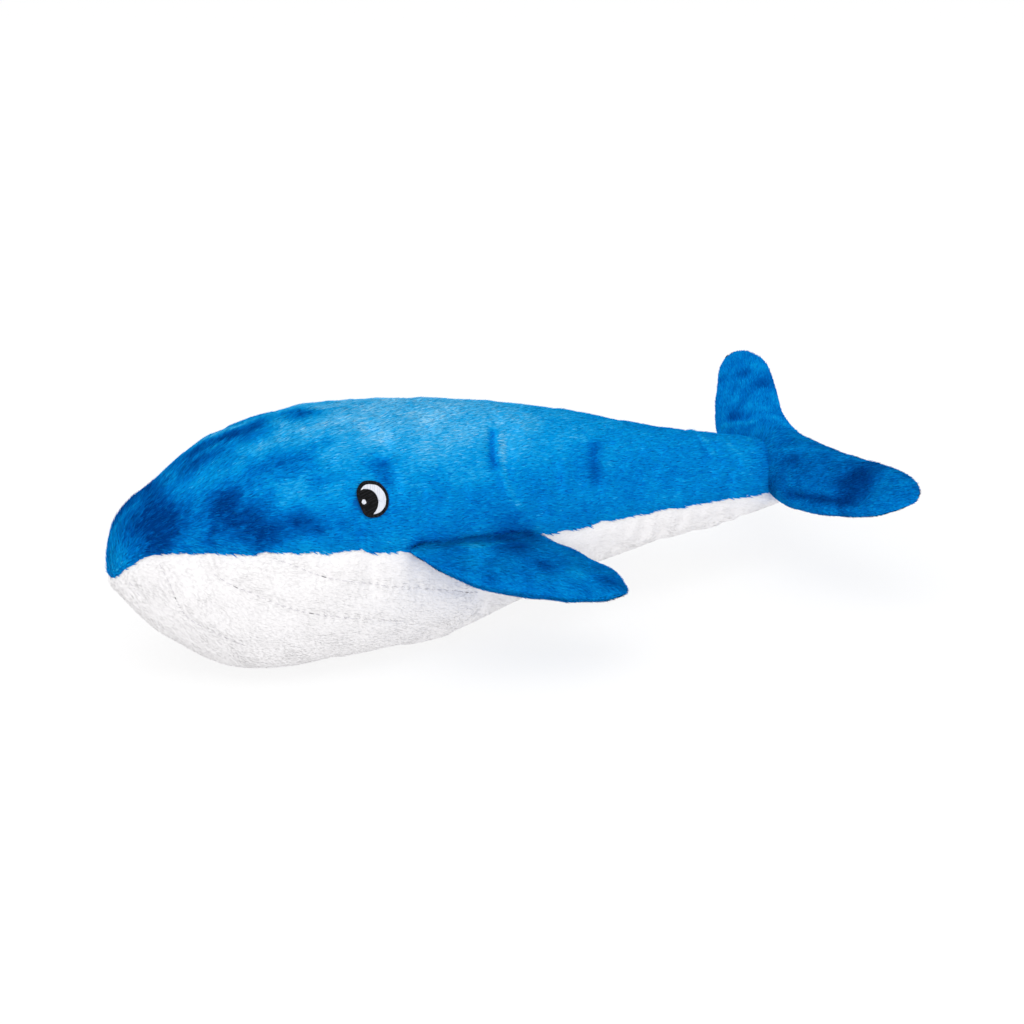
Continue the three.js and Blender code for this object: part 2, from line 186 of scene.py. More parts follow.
@dataclass(frozen=True)
class BodyShape:
    """The stuffed body's surface, from its nose to the end of its tail stock."""

    length: float = 431 * MM
    height: float = 145 * MM
    width: float = 128 * MM
    nose_to_rest: float = 130 * MM
    lowest: float = -0.5 * MM
    belly_squareness: float = 2.25
    widest_share: float = 0.47
    back: tuple = (0.445, 0.666, 0.786, 0.921, 0.988, 0.983, 0.927, 0.84, 0.73, 0.644, 0.59, 0.548, 0.441)
    keel: tuple = (0.445, 0.331, 0.164, 0.024, -0.012, -0.04, 0.05, 0.152, 0.214, 0.238, 0.271, 0.314, 0.441)
    girth: tuple = (0, 0.303, 0.558, 0.855, 0.995, 0.965, 0.808, 0.68, 0.516, 0.408, 0.356, 0.234, 0)
    seam: tuple = (
        (-0.03, 0.4), (0, 0.445), (0.013, 0.513), (0.036, 0.578), (0.08, 0.592), (0.16, 0.594), (0.26, 0.57),
        (0.33, 0.535), (0.4, 0.5), (0.54, 0.452), (0.66, 0.438), (0.78, 0.415), (0.88, 0.395), (1.02, 0.375),
    )

    def section(self, along: np.ndarray) -> tuple[np.ndarray, np.ndarray, np.ndarray, np.ndarray]:
        """Measures the body's sections.

        Args:
            along: Shares along the body.

        Returns:
            The height of the widest level, the half width, and the reach above and below that level.
        """
        top = eased(self.back, along) * self.height
        bottom = np.maximum(eased(self.keel, along) * self.height, self.lowest)
        level = bottom + (top - bottom) * self.widest_share
        return level, eased(self.girth, along) * self.width / 2, top - level, level - bottom

    def behind(self, along: np.ndarray) -> np.ndarray:
        """Gives the distance behind the nose."""
        return self.length / 2 * (1 - np.cos(math.pi * along))

    def along(self, behind: np.ndarray | float) -> np.ndarray:
        """Gives the share along the body at a distance behind the nose."""
        return np.arccos(1 - 2 * np.asarray(behind) / self.length) / math.pi

    def point(self, along: np.ndarray, turn: np.ndarray, inset: float = 0) -> np.ndarray:
        """Gives a point of the surface.

        Args:
            along: Share along the body, 0 at the nose.
            turn: Angle round the section, 0 at the left side and a quarter turn on top.
            inset: How far under the surface.

        Returns:
            The point, with its lowest places pressed flat by the floor.
        """
        level, half, above, below = self.section(along)
        rise = np.sin(turn)
        squareness = np.where(rise < 0, self.belly_squareness, 2.0)
        reach = np.where(rise < 0, below, above)
        x = self.length / 2 - (self.length / 2 - inset) * np.cos(math.pi * along) - self.nose_to_rest
        y = -thinned(half, inset) * bowed(np.cos(turn), squareness)
        z = level + thinned(reach, inset) * bowed(rise, squareness)
        return np.stack(np.broadcast_arrays(x, y, np.maximum(z, OVER_FLOOR)), -1)

    def seam_turn(self, along: np.ndarray) -> np.ndarray:
        """Gives the angle round the section at which the side seam runs.

        Args:
            along: Shares along the body.

        Returns:
            An angle for each share.
        """
        path = through(self.seam, 400)
        height = np.interp(self.behind(along) / self.length, path[:, 0], path[:, 1]) * self.height
        return self.turn_at(along, height)

    def turn_at(self, along: np.ndarray, height: np.ndarray) -> np.ndarray:
        """Gives the angle round the section at a height.

        Args:
            along: Shares along the body.
            height: Heights over the floor.

        Returns:
            An angle for each.
        """
        level, _, above, below = self.section(along)
        up = np.clip((height - level) / np.maximum(above, 1e-9), 0, 1)
        down = np.clip((level - height) / np.maximum(below, 1e-9), 0, 1) ** (self.belly_squareness / 2)
        return np.arcsin(up) - np.arcsin(down)

    def rows(self, count: int) -> np.ndarray:
        """Gives shares along the body that lie at about equal distances on its surface.

        Args:
            count: How many.

        Returns:
            The shares, from 0 to 1.
        """
        fine = np.linspace(0, 1, 1200)
        low, middle, high = (self.point(fine, np.full_like(fine, turn)) for turn in (-0.4, 0.5, 1.4))
        steps = sum(lengths(np.diff(line, axis=0)) for line in (low, middle, high))
        run = np.concatenate([[0], np.cumsum(steps)])
        return np.interp(np.linspace(0, run[-1], count), run, fine)

    def on_side(self, behind: float, height: float, side: int, lift: float = 0) -> np.ndarray:
        """Gives the point of the surface at a distance behind the nose and a height.

        Args:
            behind: Distance behind the nose.
            height: Height over the floor.
            side: -1 on the left, 1 on the right.
            lift: How far outside the surface.

        Returns:
            The point.
        """
        along = self.along(behind)
        spot = self.point(along, self.turn_at(along, np.asarray(height)), -lift)
        return spot * (1, -side, 1)


@dataclass(frozen=True)
class LimbShape:
    """A fin's or the fluke's surface in its own axes: back, out or across, and square to both."""

    origin: Place
    back: Place
    out: Place
    front_shares: tuple
    rear_shares: tuple
    thickness_shares: tuple
    chord: float
    reach: float
    thickness: float
    centred: bool = False

    def point(self, along: np.ndarray, turn: np.ndarray, inset: float = 0,
              rim: float | None = None) -> np.ndarray:
        """Gives a point of the surface.

        Args:
            along: Share from the root to the tip, or from one tip to the other.
            turn: Angle round the section, 0 at the front edge and half a turn, over the top, at the rear.
            inset: How far under the surface.
            rim: How far inside the edge, where it isn't inset.

        Returns:
            The point.
        """
        front, rear, thick = (
            eased(shares, along) for shares in (self.front_shares, self.rear_shares, self.thickness_shares))
        rim = inset if rim is None else rim
        x = (front + rear) * self.chord / 2 - thinned((rear - front) * self.chord / 2, rim) * np.cos(turn)
        y = self.reach / 2 - (self.reach / 2 - rim) * np.cos(math.pi * along)
        z = thinned(thick * self.thickness / 2, inset) * np.sin(turn)
        x, y, z = np.broadcast_arrays(x, y - self.reach / 2 * self.centred, z)
        back, out, up = self.axes()
        return np.array(self.origin) + x[..., None] * back + y[..., None] * out + z[..., None] * up

    def axes(self) -> tuple[np.ndarray, np.ndarray, np.ndarray]:
        """Gives the directions back, out and up.

        Returns:
            Three vectors of length 1.
        """
        back, out = np.array(self.back), np.array(self.out)
        up = np.cross(back, out)
        return back, out, up * np.sign(up[2])

    def out_of_root(self, points: np.ndarray) -> np.ndarray:
        """Measures how far points lie out from the root, or from the middle of a centred shape."""
        return (points - np.array(self.origin)) @ self.axes()[1]


def mirrored(values: tuple) -> tuple:
    """Turns a table from the middle out into one from tip to tip."""
    return (*values[:0:-1], *values)


def fin_shape(side: int) -> LimbShape:
    """Gives the shape of the fin on one side.

    Args:
        side: -1 on the left, 1 on the right.

    Returns:
        Its outline and thickness, in its own axes.
    """
    return LimbShape(
        origin=(0.028, side * 0.061914, 0.071753),
        back=(0.979482, -side * 0.165522, -0.114968),
        out=(0.144411, side * 0.974367, -0.172497),
        front_shares=(0.45, -0.07, -0.05, 0.05, 0.15, 0.37, 0.57, 0.78, 0.96),
        rear_shares=(0.45, 0.91, 1.04, 1.12, 1.2, 1.25, 1.23, 1.18, 1.03),
        thickness_shares=(0.0, 0.42, 0.78, 0.98, 1.0, 0.92, 0.74, 0.5, 0.0),
        chord=82.697 * MM, reach=67 * MM, thickness=21 * MM,
    )


def fluke_shape() -> LimbShape:
    """Gives the shape of the fluke, pitched up and rolled a little.

    Returns:
        Its outline and thickness, in its own axes.
    """
    pitch, roll = math.radians(35), math.radians(5.5)
    back = (math.cos(pitch), -math.sin(roll) * math.sin(pitch), math.cos(roll) * math.sin(pitch))
    return LimbShape(
        origin=(0.281, 0.0, 0.064),
        back=back,
        out=(0.0, math.cos(roll), math.sin(roll)),
        front_shares=(0.98, 0.77, 0.43, 0.145, -0.14, -0.3, -0.22, -0.23, -0.095, 0.24, 0.56, 0.815, 0.98),
        rear_shares=(0.98, 1.16, 1.28, 1.23, 1.065, 0.88, 0.765, 0.865, 1.13, 1.34, 1.33, 1.22, 0.98),
        thickness_shares=mirrored((2.44, 1.93, 1.39, 1.0, 0.8, 0.42, 0.0)),
        chord=40 * MM, reach=228 * MM, thickness=17 * MM, centred=True,
    )


# Materials

def linear(code: str, alpha: float = 1.0) -> tuple[float, float, float, float]:
    """Turns an sRGB hex colour into linear light."""
    parts = [int(code[i:i + 2], 16) / 255 for i in (1, 3, 5)]
    return (*(c / 12.92 if c <= 0.04045 else ((c + 0.055) / 1.055) ** 2.4 for c in parts), alpha)


def add(tree: bpy.types.NodeTree, kind: str, settings: dict | None = None,
        **inputs: object) -> bpy.types.Node:
    """Adds a node.

    Args:
        tree: The node tree.
        kind: The node's type.
        settings: Its properties.
        **inputs: Its sockets by name, with _ for a space, or _0, _1 for a numbered one. A socket is linked,
            and any other value is set.

    Returns:
        The node.
    """
    node = tree.nodes.new(kind)
    for name, value in (settings or {}).items():
        setattr(node, name, value)
    for name, value in inputs.items():
        socket = node.inputs[int(name[1:])] if name[1:].isdigit() else node.inputs[name.replace("_", " ")]
        if isinstance(value, bpy.types.NodeSocket):
            tree.links.new(value, socket)
        else:
            socket.default_value = value
    return node


def new_material(name: str) -> tuple[bpy.types.Material, bpy.types.NodeTree]:
    """Makes an empty material.

    Args:
        name: Its name.

    Returns:
        The material and its node tree.
    """
    material = bpy.data.materials.new(name)
    material.use_nodes = True
    material.node_tree.nodes.clear()
    return material, material.node_tree


@dataclass(frozen=True)
class Plush:
    """Short-pile polyester plush, knitted and sheared: soft, no gloss, a pale bloom at grazing angles."""

    name: str
    deep: str
    middle: str
    pale: str
    sheen: float
    sheen_tint: str
    fibre_across: float = 0.9 * MM  # a lock of pile, drawn coarse enough to show
    fibre_along: float = 4.5 * MM
    contrast: float = 0.5  # between neighbouring locks
    deep_at: float = 0.2  # the tone that has the deep colour
    middle_at: float = 0.72  # the tone that has the middle colour

    def make(self) -> bpy.types.Material:
        """Makes the material: locks of pile along the cloth, their colour following the random mottling and
        the painted light and shade that each point carries.

        Returns:
            The material.
        """
        material, tree = new_material(self.name)
        cloth = add(tree, "ShaderNodeUVMap", {"uv_map": "cloth"})
        stretched = add(tree, "ShaderNodeMapping", Vector=cloth.outputs["UV"],
                        Scale=(1 / self.fibre_along, 1 / self.fibre_across, 1))
        locks = add(tree, "ShaderNodeTexNoise", Vector=stretched.outputs["Vector"], Scale=1.0, Detail=3.0,
                    Roughness=0.6)
        mottling_and_light = add(tree, "ShaderNodeAttribute", {"attribute_name": "mottling_and_light"})
        tone = add(tree, "ShaderNodeMath", {"operation": "MULTIPLY_ADD"}, _0=locks.outputs["Fac"],
                   _1=self.contrast, _2=mottling_and_light.outputs["Fac"])
        ramp = add(tree, "ShaderNodeValToRGB", Fac=tone.outputs["Value"])
        stops = ramp.color_ramp.elements
        stops[0].position, stops[0].color = self.deep_at, linear(self.deep)
        stops[1].position, stops[1].color = 1.0, linear(self.pale)
        stops.new(self.middle_at).color = linear(self.middle)
        bump = add(tree, "ShaderNodeBump", Strength=0.6, Distance=0.5 * MM, Height=locks.outputs["Fac"])
        shader = add(tree, "ShaderNodeBsdfPrincipled", Base_Color=ramp.outputs["Color"], Roughness=0.95,
                     Normal=bump.outputs["Normal"], Sheen_Weight=self.sheen, Sheen_Roughness=0.5,
                     Sheen_Tint=linear(self.sheen_tint), Specular_IOR_Level=0.0)
        add(tree, "ShaderNodeOutputMaterial", Surface=shader.outputs["BSDF"])
        return material


@dataclass(frozen=True)
class Fibre:
    """One shade of dyed polyester fibre: each lock of pile is one shade, and the locks' shades vary."""

    name: str
    colour: str

    def make(self) -> bpy.types.Material:
        """Makes the material: matt, because so fine a fibre has no gloss to see.

        Returns:
            The material.
        """
        material, tree = new_material(self.name)
        shader = add(tree, "ShaderNodeBsdfPrincipled", Base_Color=linear(self.colour), Roughness=1.0,
                     Specular_IOR_Level=0.0)
        add(tree, "ShaderNodeOutputMaterial", Surface=shader.outputs["BSDF"])
        return material


@dataclass(frozen=True)
class Thread:
    """Twisted polyester thread, with a satin gloss and a fine twist across it."""

    name: str
    colour: str
    shade: str
    specular: float = 0.3
    twist: float = 0.4 * MM  # from one turn of the twist to the next
    wave: float = 0.31  # how far apart the bands of a wave texture of scale 1 are, in metres

    def make(self) -> bpy.types.Material:
        """Makes the material.

        Returns:
            The material.
        """
        material, tree = new_material(self.name)
        place = add(tree, "ShaderNodeTexCoord")
        twist = add(tree, "ShaderNodeTexWave", {"bands_direction": "Z"}, Vector=place.outputs["Object"],
                    Scale=self.wave / self.twist, Distortion=2.0, Detail=2.0)
        colour = add(tree, "ShaderNodeMix", {"data_type": "RGBA"}, _0=twist.outputs["Fac"],
                     _6=linear(self.shade), _7=linear(self.colour))
        bump = add(tree, "ShaderNodeBump", Strength=0.4, Distance=0.1 * MM, Height=twist.outputs["Fac"])
        shader = add(tree, "ShaderNodeBsdfPrincipled", Base_Color=colour.outputs[2], Roughness=0.5,
                     Normal=bump.outputs["Normal"], Specular_IOR_Level=self.specular)
        add(tree, "ShaderNodeOutputMaterial", Surface=shader.outputs["BSDF"])
        return material


# Meshes and objects

def new_mesh(name: str, shape: bmesh.types.BMesh) -> bpy.types.Mesh:
    """Makes a mesh of a bmesh.

    Args:
        name: Its name.
        shape: The bmesh. It is used up.

    Returns:
        The mesh.
    """
    data = bpy.data.meshes.new(name)
    shape.to_mesh(data)
    shape.free()
    return data


def new_object(name: str, data: bpy.types.ID) -> bpy.types.Object:
    """Puts a mesh, a lamp or a camera in the scene.

    Args:
        name: Its name.
        data: What it shows.

    Returns:
        The object.
    """
    item = bpy.data.objects.new(name, data)
    bpy.context.scene.collection.objects.link(item)
    return item


def points_of(data: bpy.types.Mesh) -> np.ndarray:
    """Reads a mesh's points.

    Args:
        data: The mesh.

    Returns:
        One row for each point.
    """
    spots = np.empty(len(data.vertices) * 3)
    data.vertices.foreach_get("co", spots)
    return spots.reshape(-1, 3)


def smooth(data: bpy.types.Mesh) -> None:
    """Shades a mesh as one smooth surface."""
    data.polygons.foreach_set("use_smooth", np.ones(len(data.polygons), bool))


def join_points(shape: bmesh.types.BMesh, reach: float) -> None:
    """Joins the points of a bmesh that meet, and turns its faces one way.

    Args:
        shape: The bmesh.
        reach: How near they have to be.
    """
    bmesh.ops.remove_doubles(shape, verts=shape.verts, dist=reach)
    bmesh.ops.delete(shape, geom=[v for v in shape.verts if not v.link_faces], context="VERTS")
    bmesh.ops.recalc_face_normals(shape, faces=shape.faces)


def apply_modifiers(item: bpy.types.Object) -> None:
    """Makes what an object's modifiers show its own mesh.

    Args:
        item: The object. Its old mesh is removed.
    """
    raw = item.data
    item.data = bpy.data.meshes.new_from_object(item.evaluated_get(bpy.context.evaluated_depsgraph_get()))
    item.modifiers.clear()
    bpy.data.meshes.remove(raw)
    item.data.name = item.name


def strand_axes(along: np.ndarray, up: np.ndarray, thread: float, spare: float = 0.0) -> np.ndarray:
    """Gives lying strands of thread their axes, each half as long as the strand is that way.

    Args:
        along: From each strand's start to its end.
        up: For each, a direction off the cloth.
        thread: The thread's thickness.
        spare: How far each end goes on, as a share of the thickness.

    Returns:
        For each strand, the axes across it, off the cloth and along it.
    """
    side = unit(np.cross(up, along))
    half = along / 2 + unit(along) * thread * spare
    return np.stack([side * thread / 2, unit(np.cross(along, side)) * thread / 2, half], axis=1)


# Panels of plush

@dataclass
class Sheet:
    """A panel of plush as a grid of points: rows follow one another along it, columns across it."""

    points: np.ndarray
    mottling_and_light: np.ndarray  # how pale the pile's shades are: random mottling, with painted shade in folds, grooves and brushed patches and a painted highlight along the top
    stand: np.ndarray | float = 0.0  # how much steeper the pile stands, in radians
    trim: np.ndarray | float = 1.0  # the pile's length, as a share of its usual one

    def __post_init__(self) -> None:
        """Gives each point its own values."""
        self.mottling_and_light, self.stand, self.trim = (
            np.broadcast_to(values, self.points.shape[:2]) for values in (self.mottling_and_light, self.stand, self.trim))

    def normals(self, outward: np.ndarray) -> np.ndarray:
        """Gives the directions square to the panel.

        Args:
            outward: A direction for each point, roughly away from the stuffing.

        Returns:
            One direction for each point.
        """
        along, across = np.gradient(self.points, axis=0), np.gradient(self.points, axis=1)
        square = unit(np.cross(along, across))
        square *= np.where((square * outward).sum(-1, keepdims=True) < 0, -1, 1)
        square[0], square[-1] = square[1], square[-2]  # at a pole
        return unit(square + 1e-3 * outward)

    def flat(self) -> np.ndarray:
        """Gives each point's place in the flat cloth, in metres.

        Returns:
            For each point, its place along the panel and across it.
        """
        along = lengths(np.diff(self.points, axis=0)).mean(1)
        u = np.concatenate([[0], np.cumsum(along)])[:, None] * np.ones(self.points.shape[1])
        v = run_across(self.points)
        return np.stack([u, v - v[:, -1:] / 2], -1)

    def mesh(self, name: str, outward: np.ndarray, wall: float, half: np.ndarray,
             material: bpy.types.Material) -> bpy.types.Object:
        """Makes the panel a closed shell.

        Args:
            name: The piece's name.
            outward: A direction for each point, roughly away from the stuffing.
            wall: The cloth's thickness, inwards.
            half: For each point, half the thickness of the stuffed form, which the wall stays within.
            material: Its finish.

        Returns:
            The piece.
        """
        rows, columns = self.points.shape[:2]
        shell = bmesh.new()
        bmesh.ops.create_grid(shell, x_segments=rows - 1, y_segments=columns - 1, size=0.5)
        data = new_mesh(name, shell)
        i, j = np.rint((points_of(data)[:, :2] + 0.5) * (rows - 1, columns - 1)).astype(int).T
        data.vertices.foreach_set("co", self.points[i, j].ravel())
        corners = np.empty(len(data.loops), int)
        data.loops.foreach_get("vertex_index", corners)
        cloth = data.uv_layers.new(name="cloth")
        cloth.data.foreach_set("uv", self.flat()[i, j][corners].ravel())
        thin = np.clip(0.7 * half / wall, 0.02, 1)  # the wall takes up 0.7 of a thin form, at the most
        for word, values in (("mottling_and_light", self.mottling_and_light), ("thin", thin)):
            kept = data.attributes.new(word, "FLOAT", "POINT").data
            kept.foreach_set("value", values[i, j].astype(np.float32))
        shell = bmesh.new()
        shell.from_mesh(data)
        thinness, weights = shell.verts.layers.float["thin"], shell.verts.layers.deform.verify()
        for vertex in shell.verts:
            vertex[weights][0] = vertex[thinness]
        shell.verts.layers.float.remove(thinness)
        join_points(shell, 0.02 * MM)
        middle, out = (Vector(values[rows // 2, columns // 2]) for values in (self.points, outward))
        nearest = min(shell.faces, key=lambda face: (face.calc_center_median() - middle).length)
        if nearest.normal.dot(out) < 0:
            bmesh.ops.reverse_faces(shell, faces=shell.faces)
        for face in shell.faces:
            face.smooth = True
        shell.to_mesh(data)
        shell.free()
        data.materials.append(material)
        piece = new_object(name, data)
        piece.vertex_groups.new(name="wall")
        thick = piece.modifiers.new("wall", "SOLIDIFY")
        thick.thickness, thick.offset, thick.vertex_group = wall, -1, "wall"
        apply_modifiers(piece)
        piece.vertex_groups.clear()
        return piece


def spread(values: np.ndarray, s: np.ndarray, t: np.ndarray) -> np.ndarray:
    """Reads a coarse grid of vectors smoothly, at the shares s along it and t across it."""
    along = eased(values, s)
    return eased(along.swapaxes(0, 1), t).swapaxes(0, 1)


@dataclass(frozen=True)
class Puff:
    """Swells sewn cloth with pressure, as stuffing does, and lets it pucker where it is held."""

    pressure: float = 4.0
    slack: float = 0.012  # how much larger the cloth is than the form that holds it
    frames: int = 20
    quality: int = 6
    mass: float = 0.2
    stiffness: float = 12.0
    bending: float = 0.6
    cap: float = 1.2 * MM  # how far any point may move

    def swell(self, grids: Sequence[np.ndarray], held: Sequence[np.ndarray],
              outward: Sequence[np.ndarray]) -> list[np.ndarray]:
        """Runs the cloth simulation on coarse panels that are sewn where they meet.

        Args:
            grids: Each panel's points, in rows and columns.
            held: For each point, how firmly it is held, from 0 to 1.
            outward: For each point, the direction away from the stuffing.

        Returns:
            For each panel, how far each point moved.
        """
        sewn = bmesh.new()
        for grid in grids:
            rows, columns = grid.shape[:2]
            fresh = bmesh.ops.create_grid(sewn, x_segments=rows - 1, y_segments=columns - 1, size=0.5)
            for vertex in fresh["verts"]:
                i = round((vertex.co.x + 0.5) * (rows - 1))
                j = round((vertex.co.y + 0.5) * (columns - 1))
                vertex.co = grid[i, j]
        join_points(sewn, 0.05 * MM)
        data = new_mesh("sewn_cloth", sewn)
        cloth = new_object("sewn_cloth", data)
        start = points_of(data)
        finder = KDTree(len(start))
        for index, spot in enumerate(start):
            finder.insert(spot, index)
        finder.balance()
        which = [np.array([finder.find(spot)[1] for spot in grid.reshape(-1, 3)]) for grid in grids]
        firm = np.zeros(len(start))
        for index, hold in zip(which, held):
            np.maximum.at(firm, index, hold.ravel())
        group = cloth.vertex_groups.new(name="held")
        for index, weight in enumerate(firm):
            group.add([index], float(weight), "REPLACE")
        self.add_cloth(cloth, group.name)
        for number in range(1, self.frames + 1):
            bpy.context.scene.frame_set(number)
        result = cloth.evaluated_get(bpy.context.evaluated_depsgraph_get()).to_mesh()
        moved = points_of(result) - start
        bpy.data.objects.remove(cloth)
        bpy.data.meshes.remove(data)
        bpy.context.scene.frame_set(1)
        swollen = []
        for index, away in zip(which, outward):
            out = (moved[index].reshape(away.shape) * away).sum(-1)
            log.info("cloth moved %.1f to %.1f mm", out.min() / MM, out.max() / MM)
            swollen.append(away * np.clip(out - np.median(out), -self.cap, self.cap)[..., None])
        return swollen

    def add_cloth(self, item: bpy.types.Object, held: str) -> None:
        """Gives an object Blender's Cloth, with pressure and without weight.

        Args:
            item: The sewn panels.
            held: The vertex group that holds them.
        """
        modifier = item.modifiers.new("cloth", "CLOTH")
        settings = modifier.settings
        settings.quality = self.quality
        settings.mass = self.mass
        settings.tension_stiffness = settings.compression_stiffness = self.stiffness
        settings.shear_stiffness = self.stiffness / 2
        settings.bending_stiffness = self.bending
        settings.vertex_group_mass = held
        settings.pin_stiffness = 1
        settings.use_pressure = True
        settings.uniform_pressure_force = self.pressure
        settings.shrink_min = -self.slack
        settings.effector_weights.gravity = 0
        modifier.point_cache.frame_start, modifier.point_cache.frame_end = 1, self.frames


def strewn(name: str, base: bmesh.types.BMesh, frames: np.ndarray, places: np.ndarray,
           materials: Sequence[bpy.types.Material], kinds: np.ndarray,
           normals: np.ndarray | None = None) -> bpy.types.Object:
    """Makes one piece of many copies of a small shape.

    Args:
        name: The piece's name.
        base: The small shape. It is used up.
        frames: For each copy, its three axes as rows, scaled.
        places: For each copy, its place.
        materials: The piece's finishes.
        kinds: For each copy, which finish it has.
        normals: For each copy, the way in which it faces the light, where that isn't each face's own.

    Returns:
        The piece.
    """
    data = new_mesh(name, base)
    spots, faces = points_of(data), len(data.polygons)
    piece = new_object(name, data)
    copies = piece.modifiers.new("copies", "ARRAY")
    copies.count = len(places)
    copies.use_relative_offset = False
    apply_modifiers(piece)
    many = piece.data
    moved = np.einsum("vk,nkc->nvc", spots, frames) + places[:, None, :]
    many.vertices.foreach_set("co", moved.ravel())
    for material in materials:
        many.materials.append(material)
    many.polygons.foreach_set("material_index", np.repeat(kinds, faces).astype(np.int32))
    smooth(many)
    many.update()
    if normals is not None:
        many.normals_split_custom_set_from_vertices(np.repeat(normals, moved.shape[1], axis=0).tolist())
    return piece


@dataclass(frozen=True)
class Pile:
    """The coat of a panel: locks of fibre, rooted in the cloth and combed one way."""

    count: int
    length: float = 4.0 * MM
    width: float = 0.62 * MM
    depth: float = 0.13 * MM
    lean: float = math.radians(9)  # from the cloth to the lock
    lean_shares: tuple = (0.6, 1.5)  # the least and the most of it that a lock has
    length_shares: tuple = (0.7, 1.2)  # the least and the most of the length that a lock has
    scatter: float = 0.12  # how far the locks turn aside, in radians
    root: float = 0.12 * MM  # how deep the lock starts in the cloth
    uneven: float = 0.15  # how differently neighbouring locks face the light
    brushed_painted_light_lean: float = 0.2  # how much steeper a lock stands that is brushed the other way
    mottling_and_light_shades: float = 2.56  # how many shades paler the pile is for a value of 1 of mottling and painted light
    variety: float = 0.5  # how many shades the locks vary
    over_floor: float = 0.15 * MM

    def grow(self, name: str, sheet: Sheet, outward: np.ndarray, ways: np.ndarray, seed: int,
             shades: Sequence[bpy.types.Material], tone: float,
             bare: Callable[[np.ndarray], np.ndarray] | None = None) -> bpy.types.Object:
        """Grows the pile on a panel.

        Args:
            name: The piece's name.
            sheet: The panel.
            outward: For each of its points, a direction away from the stuffing.
            ways: For each of its points, the way in which the pile is combed.
            seed: Which locks.
            shades: The fibre's shades, from the deepest to the palest.
            tone: The mean shade, counted from the deepest.
            bare: Tells for places whether no pile grows there.

        Returns:
            The piece.
        """
        random = np.random.default_rng(seed)
        points, normals = sheet.points, sheet.normals(outward)
        edge_a, edge_b = points[1:, :-1] - points[:-1, :-1], points[:-1, 1:] - points[:-1, :-1]
        area = lengths(np.cross(edge_a, edge_b)).ravel()
        total = np.cumsum(area) / area.sum()
        cell = np.searchsorted(total, (np.arange(self.count) + random.random(self.count)) / self.count)
        i, j = np.unravel_index(np.minimum(cell, len(area) - 1), edge_a.shape[:2])
        p, q = random.random((2, self.count))

        def between(values: np.ndarray) -> np.ndarray:
            """Reads a value of the panel at each lock.

            Args:
                values: For each of the panel's points, a value.

            Returns:
                A value for each lock.
            """
            share = lambda weight: weight.reshape(-1, *(1,) * (values.ndim - 2))
            return (values[i, j] * share((1 - p) * (1 - q)) + values[i + 1, j] * share(p * (1 - q))
                    + values[i, j + 1] * share((1 - p) * q) + values[i + 1, j + 1] * share(p * q))

        place, normal, way, mottling_and_light = between(points), unit(between(normals)), between(ways), between(sheet.mottling_and_light)
        way = unit(way - (way * normal).sum(-1, keepdims=True) * normal)
        side = np.cross(normal, way)
        yaw = random.normal(0, self.scatter, self.count)[:, None]
        way = unit(way * np.cos(yaw) + side * np.sin(yaw))
        lean = (self.lean * random.uniform(*self.lean_shares, self.count)
                + self.brushed_painted_light_lean * np.clip(-mottling_and_light, 0, 1) + between(sheet.stand))[:, None]
        along = way * np.cos(lean) + normal * np.sin(lean)
        size = (random.uniform(*self.length_shares, self.count) * between(sheet.trim))[:, None]
        across = unit(np.cross(normal, along))
        frames = np.stack([across * self.width, np.cross(along, across) * self.depth,
                           along * self.length * size], axis=1)
        keep = np.ones(self.count, bool)
        if bare is not None:
            keep = ~(bare(place) | bare(place + along * self.length * size))
        even, bend = 0.5, 2.5  # a deeper value tends to the shade 0.5 instead of passing below it
        shade = even + np.logaddexp(0, bend * (tone - even + self.mottling_and_light_shades * mottling_and_light)) / bend
        shade = shade + self.variety * random.normal(size=self.count)
        kinds = np.clip(shade, 0, len(shades) - 1).astype(int)
        lock = bmesh.new()
        bmesh.ops.create_cone(lock, cap_ends=True, segments=3, radius1=1, radius2=0, depth=1)
        bmesh.ops.translate(lock, verts=lock.verts, vec=(0, 0, 0.5))
        roots = place - normal * self.root
        facing = unit(normal + self.uneven * random.normal(size=normal.shape))
        low = roots[:, 2] + np.minimum(frames[:, 2, 2], 0)
        roots[:, 2] += np.clip(self.over_floor - low, 0, None)  # the floor presses the pile flat
        return strewn(name, lock, frames[keep], roots[keep], shades, kinds[keep], facing[keep])


# The whale

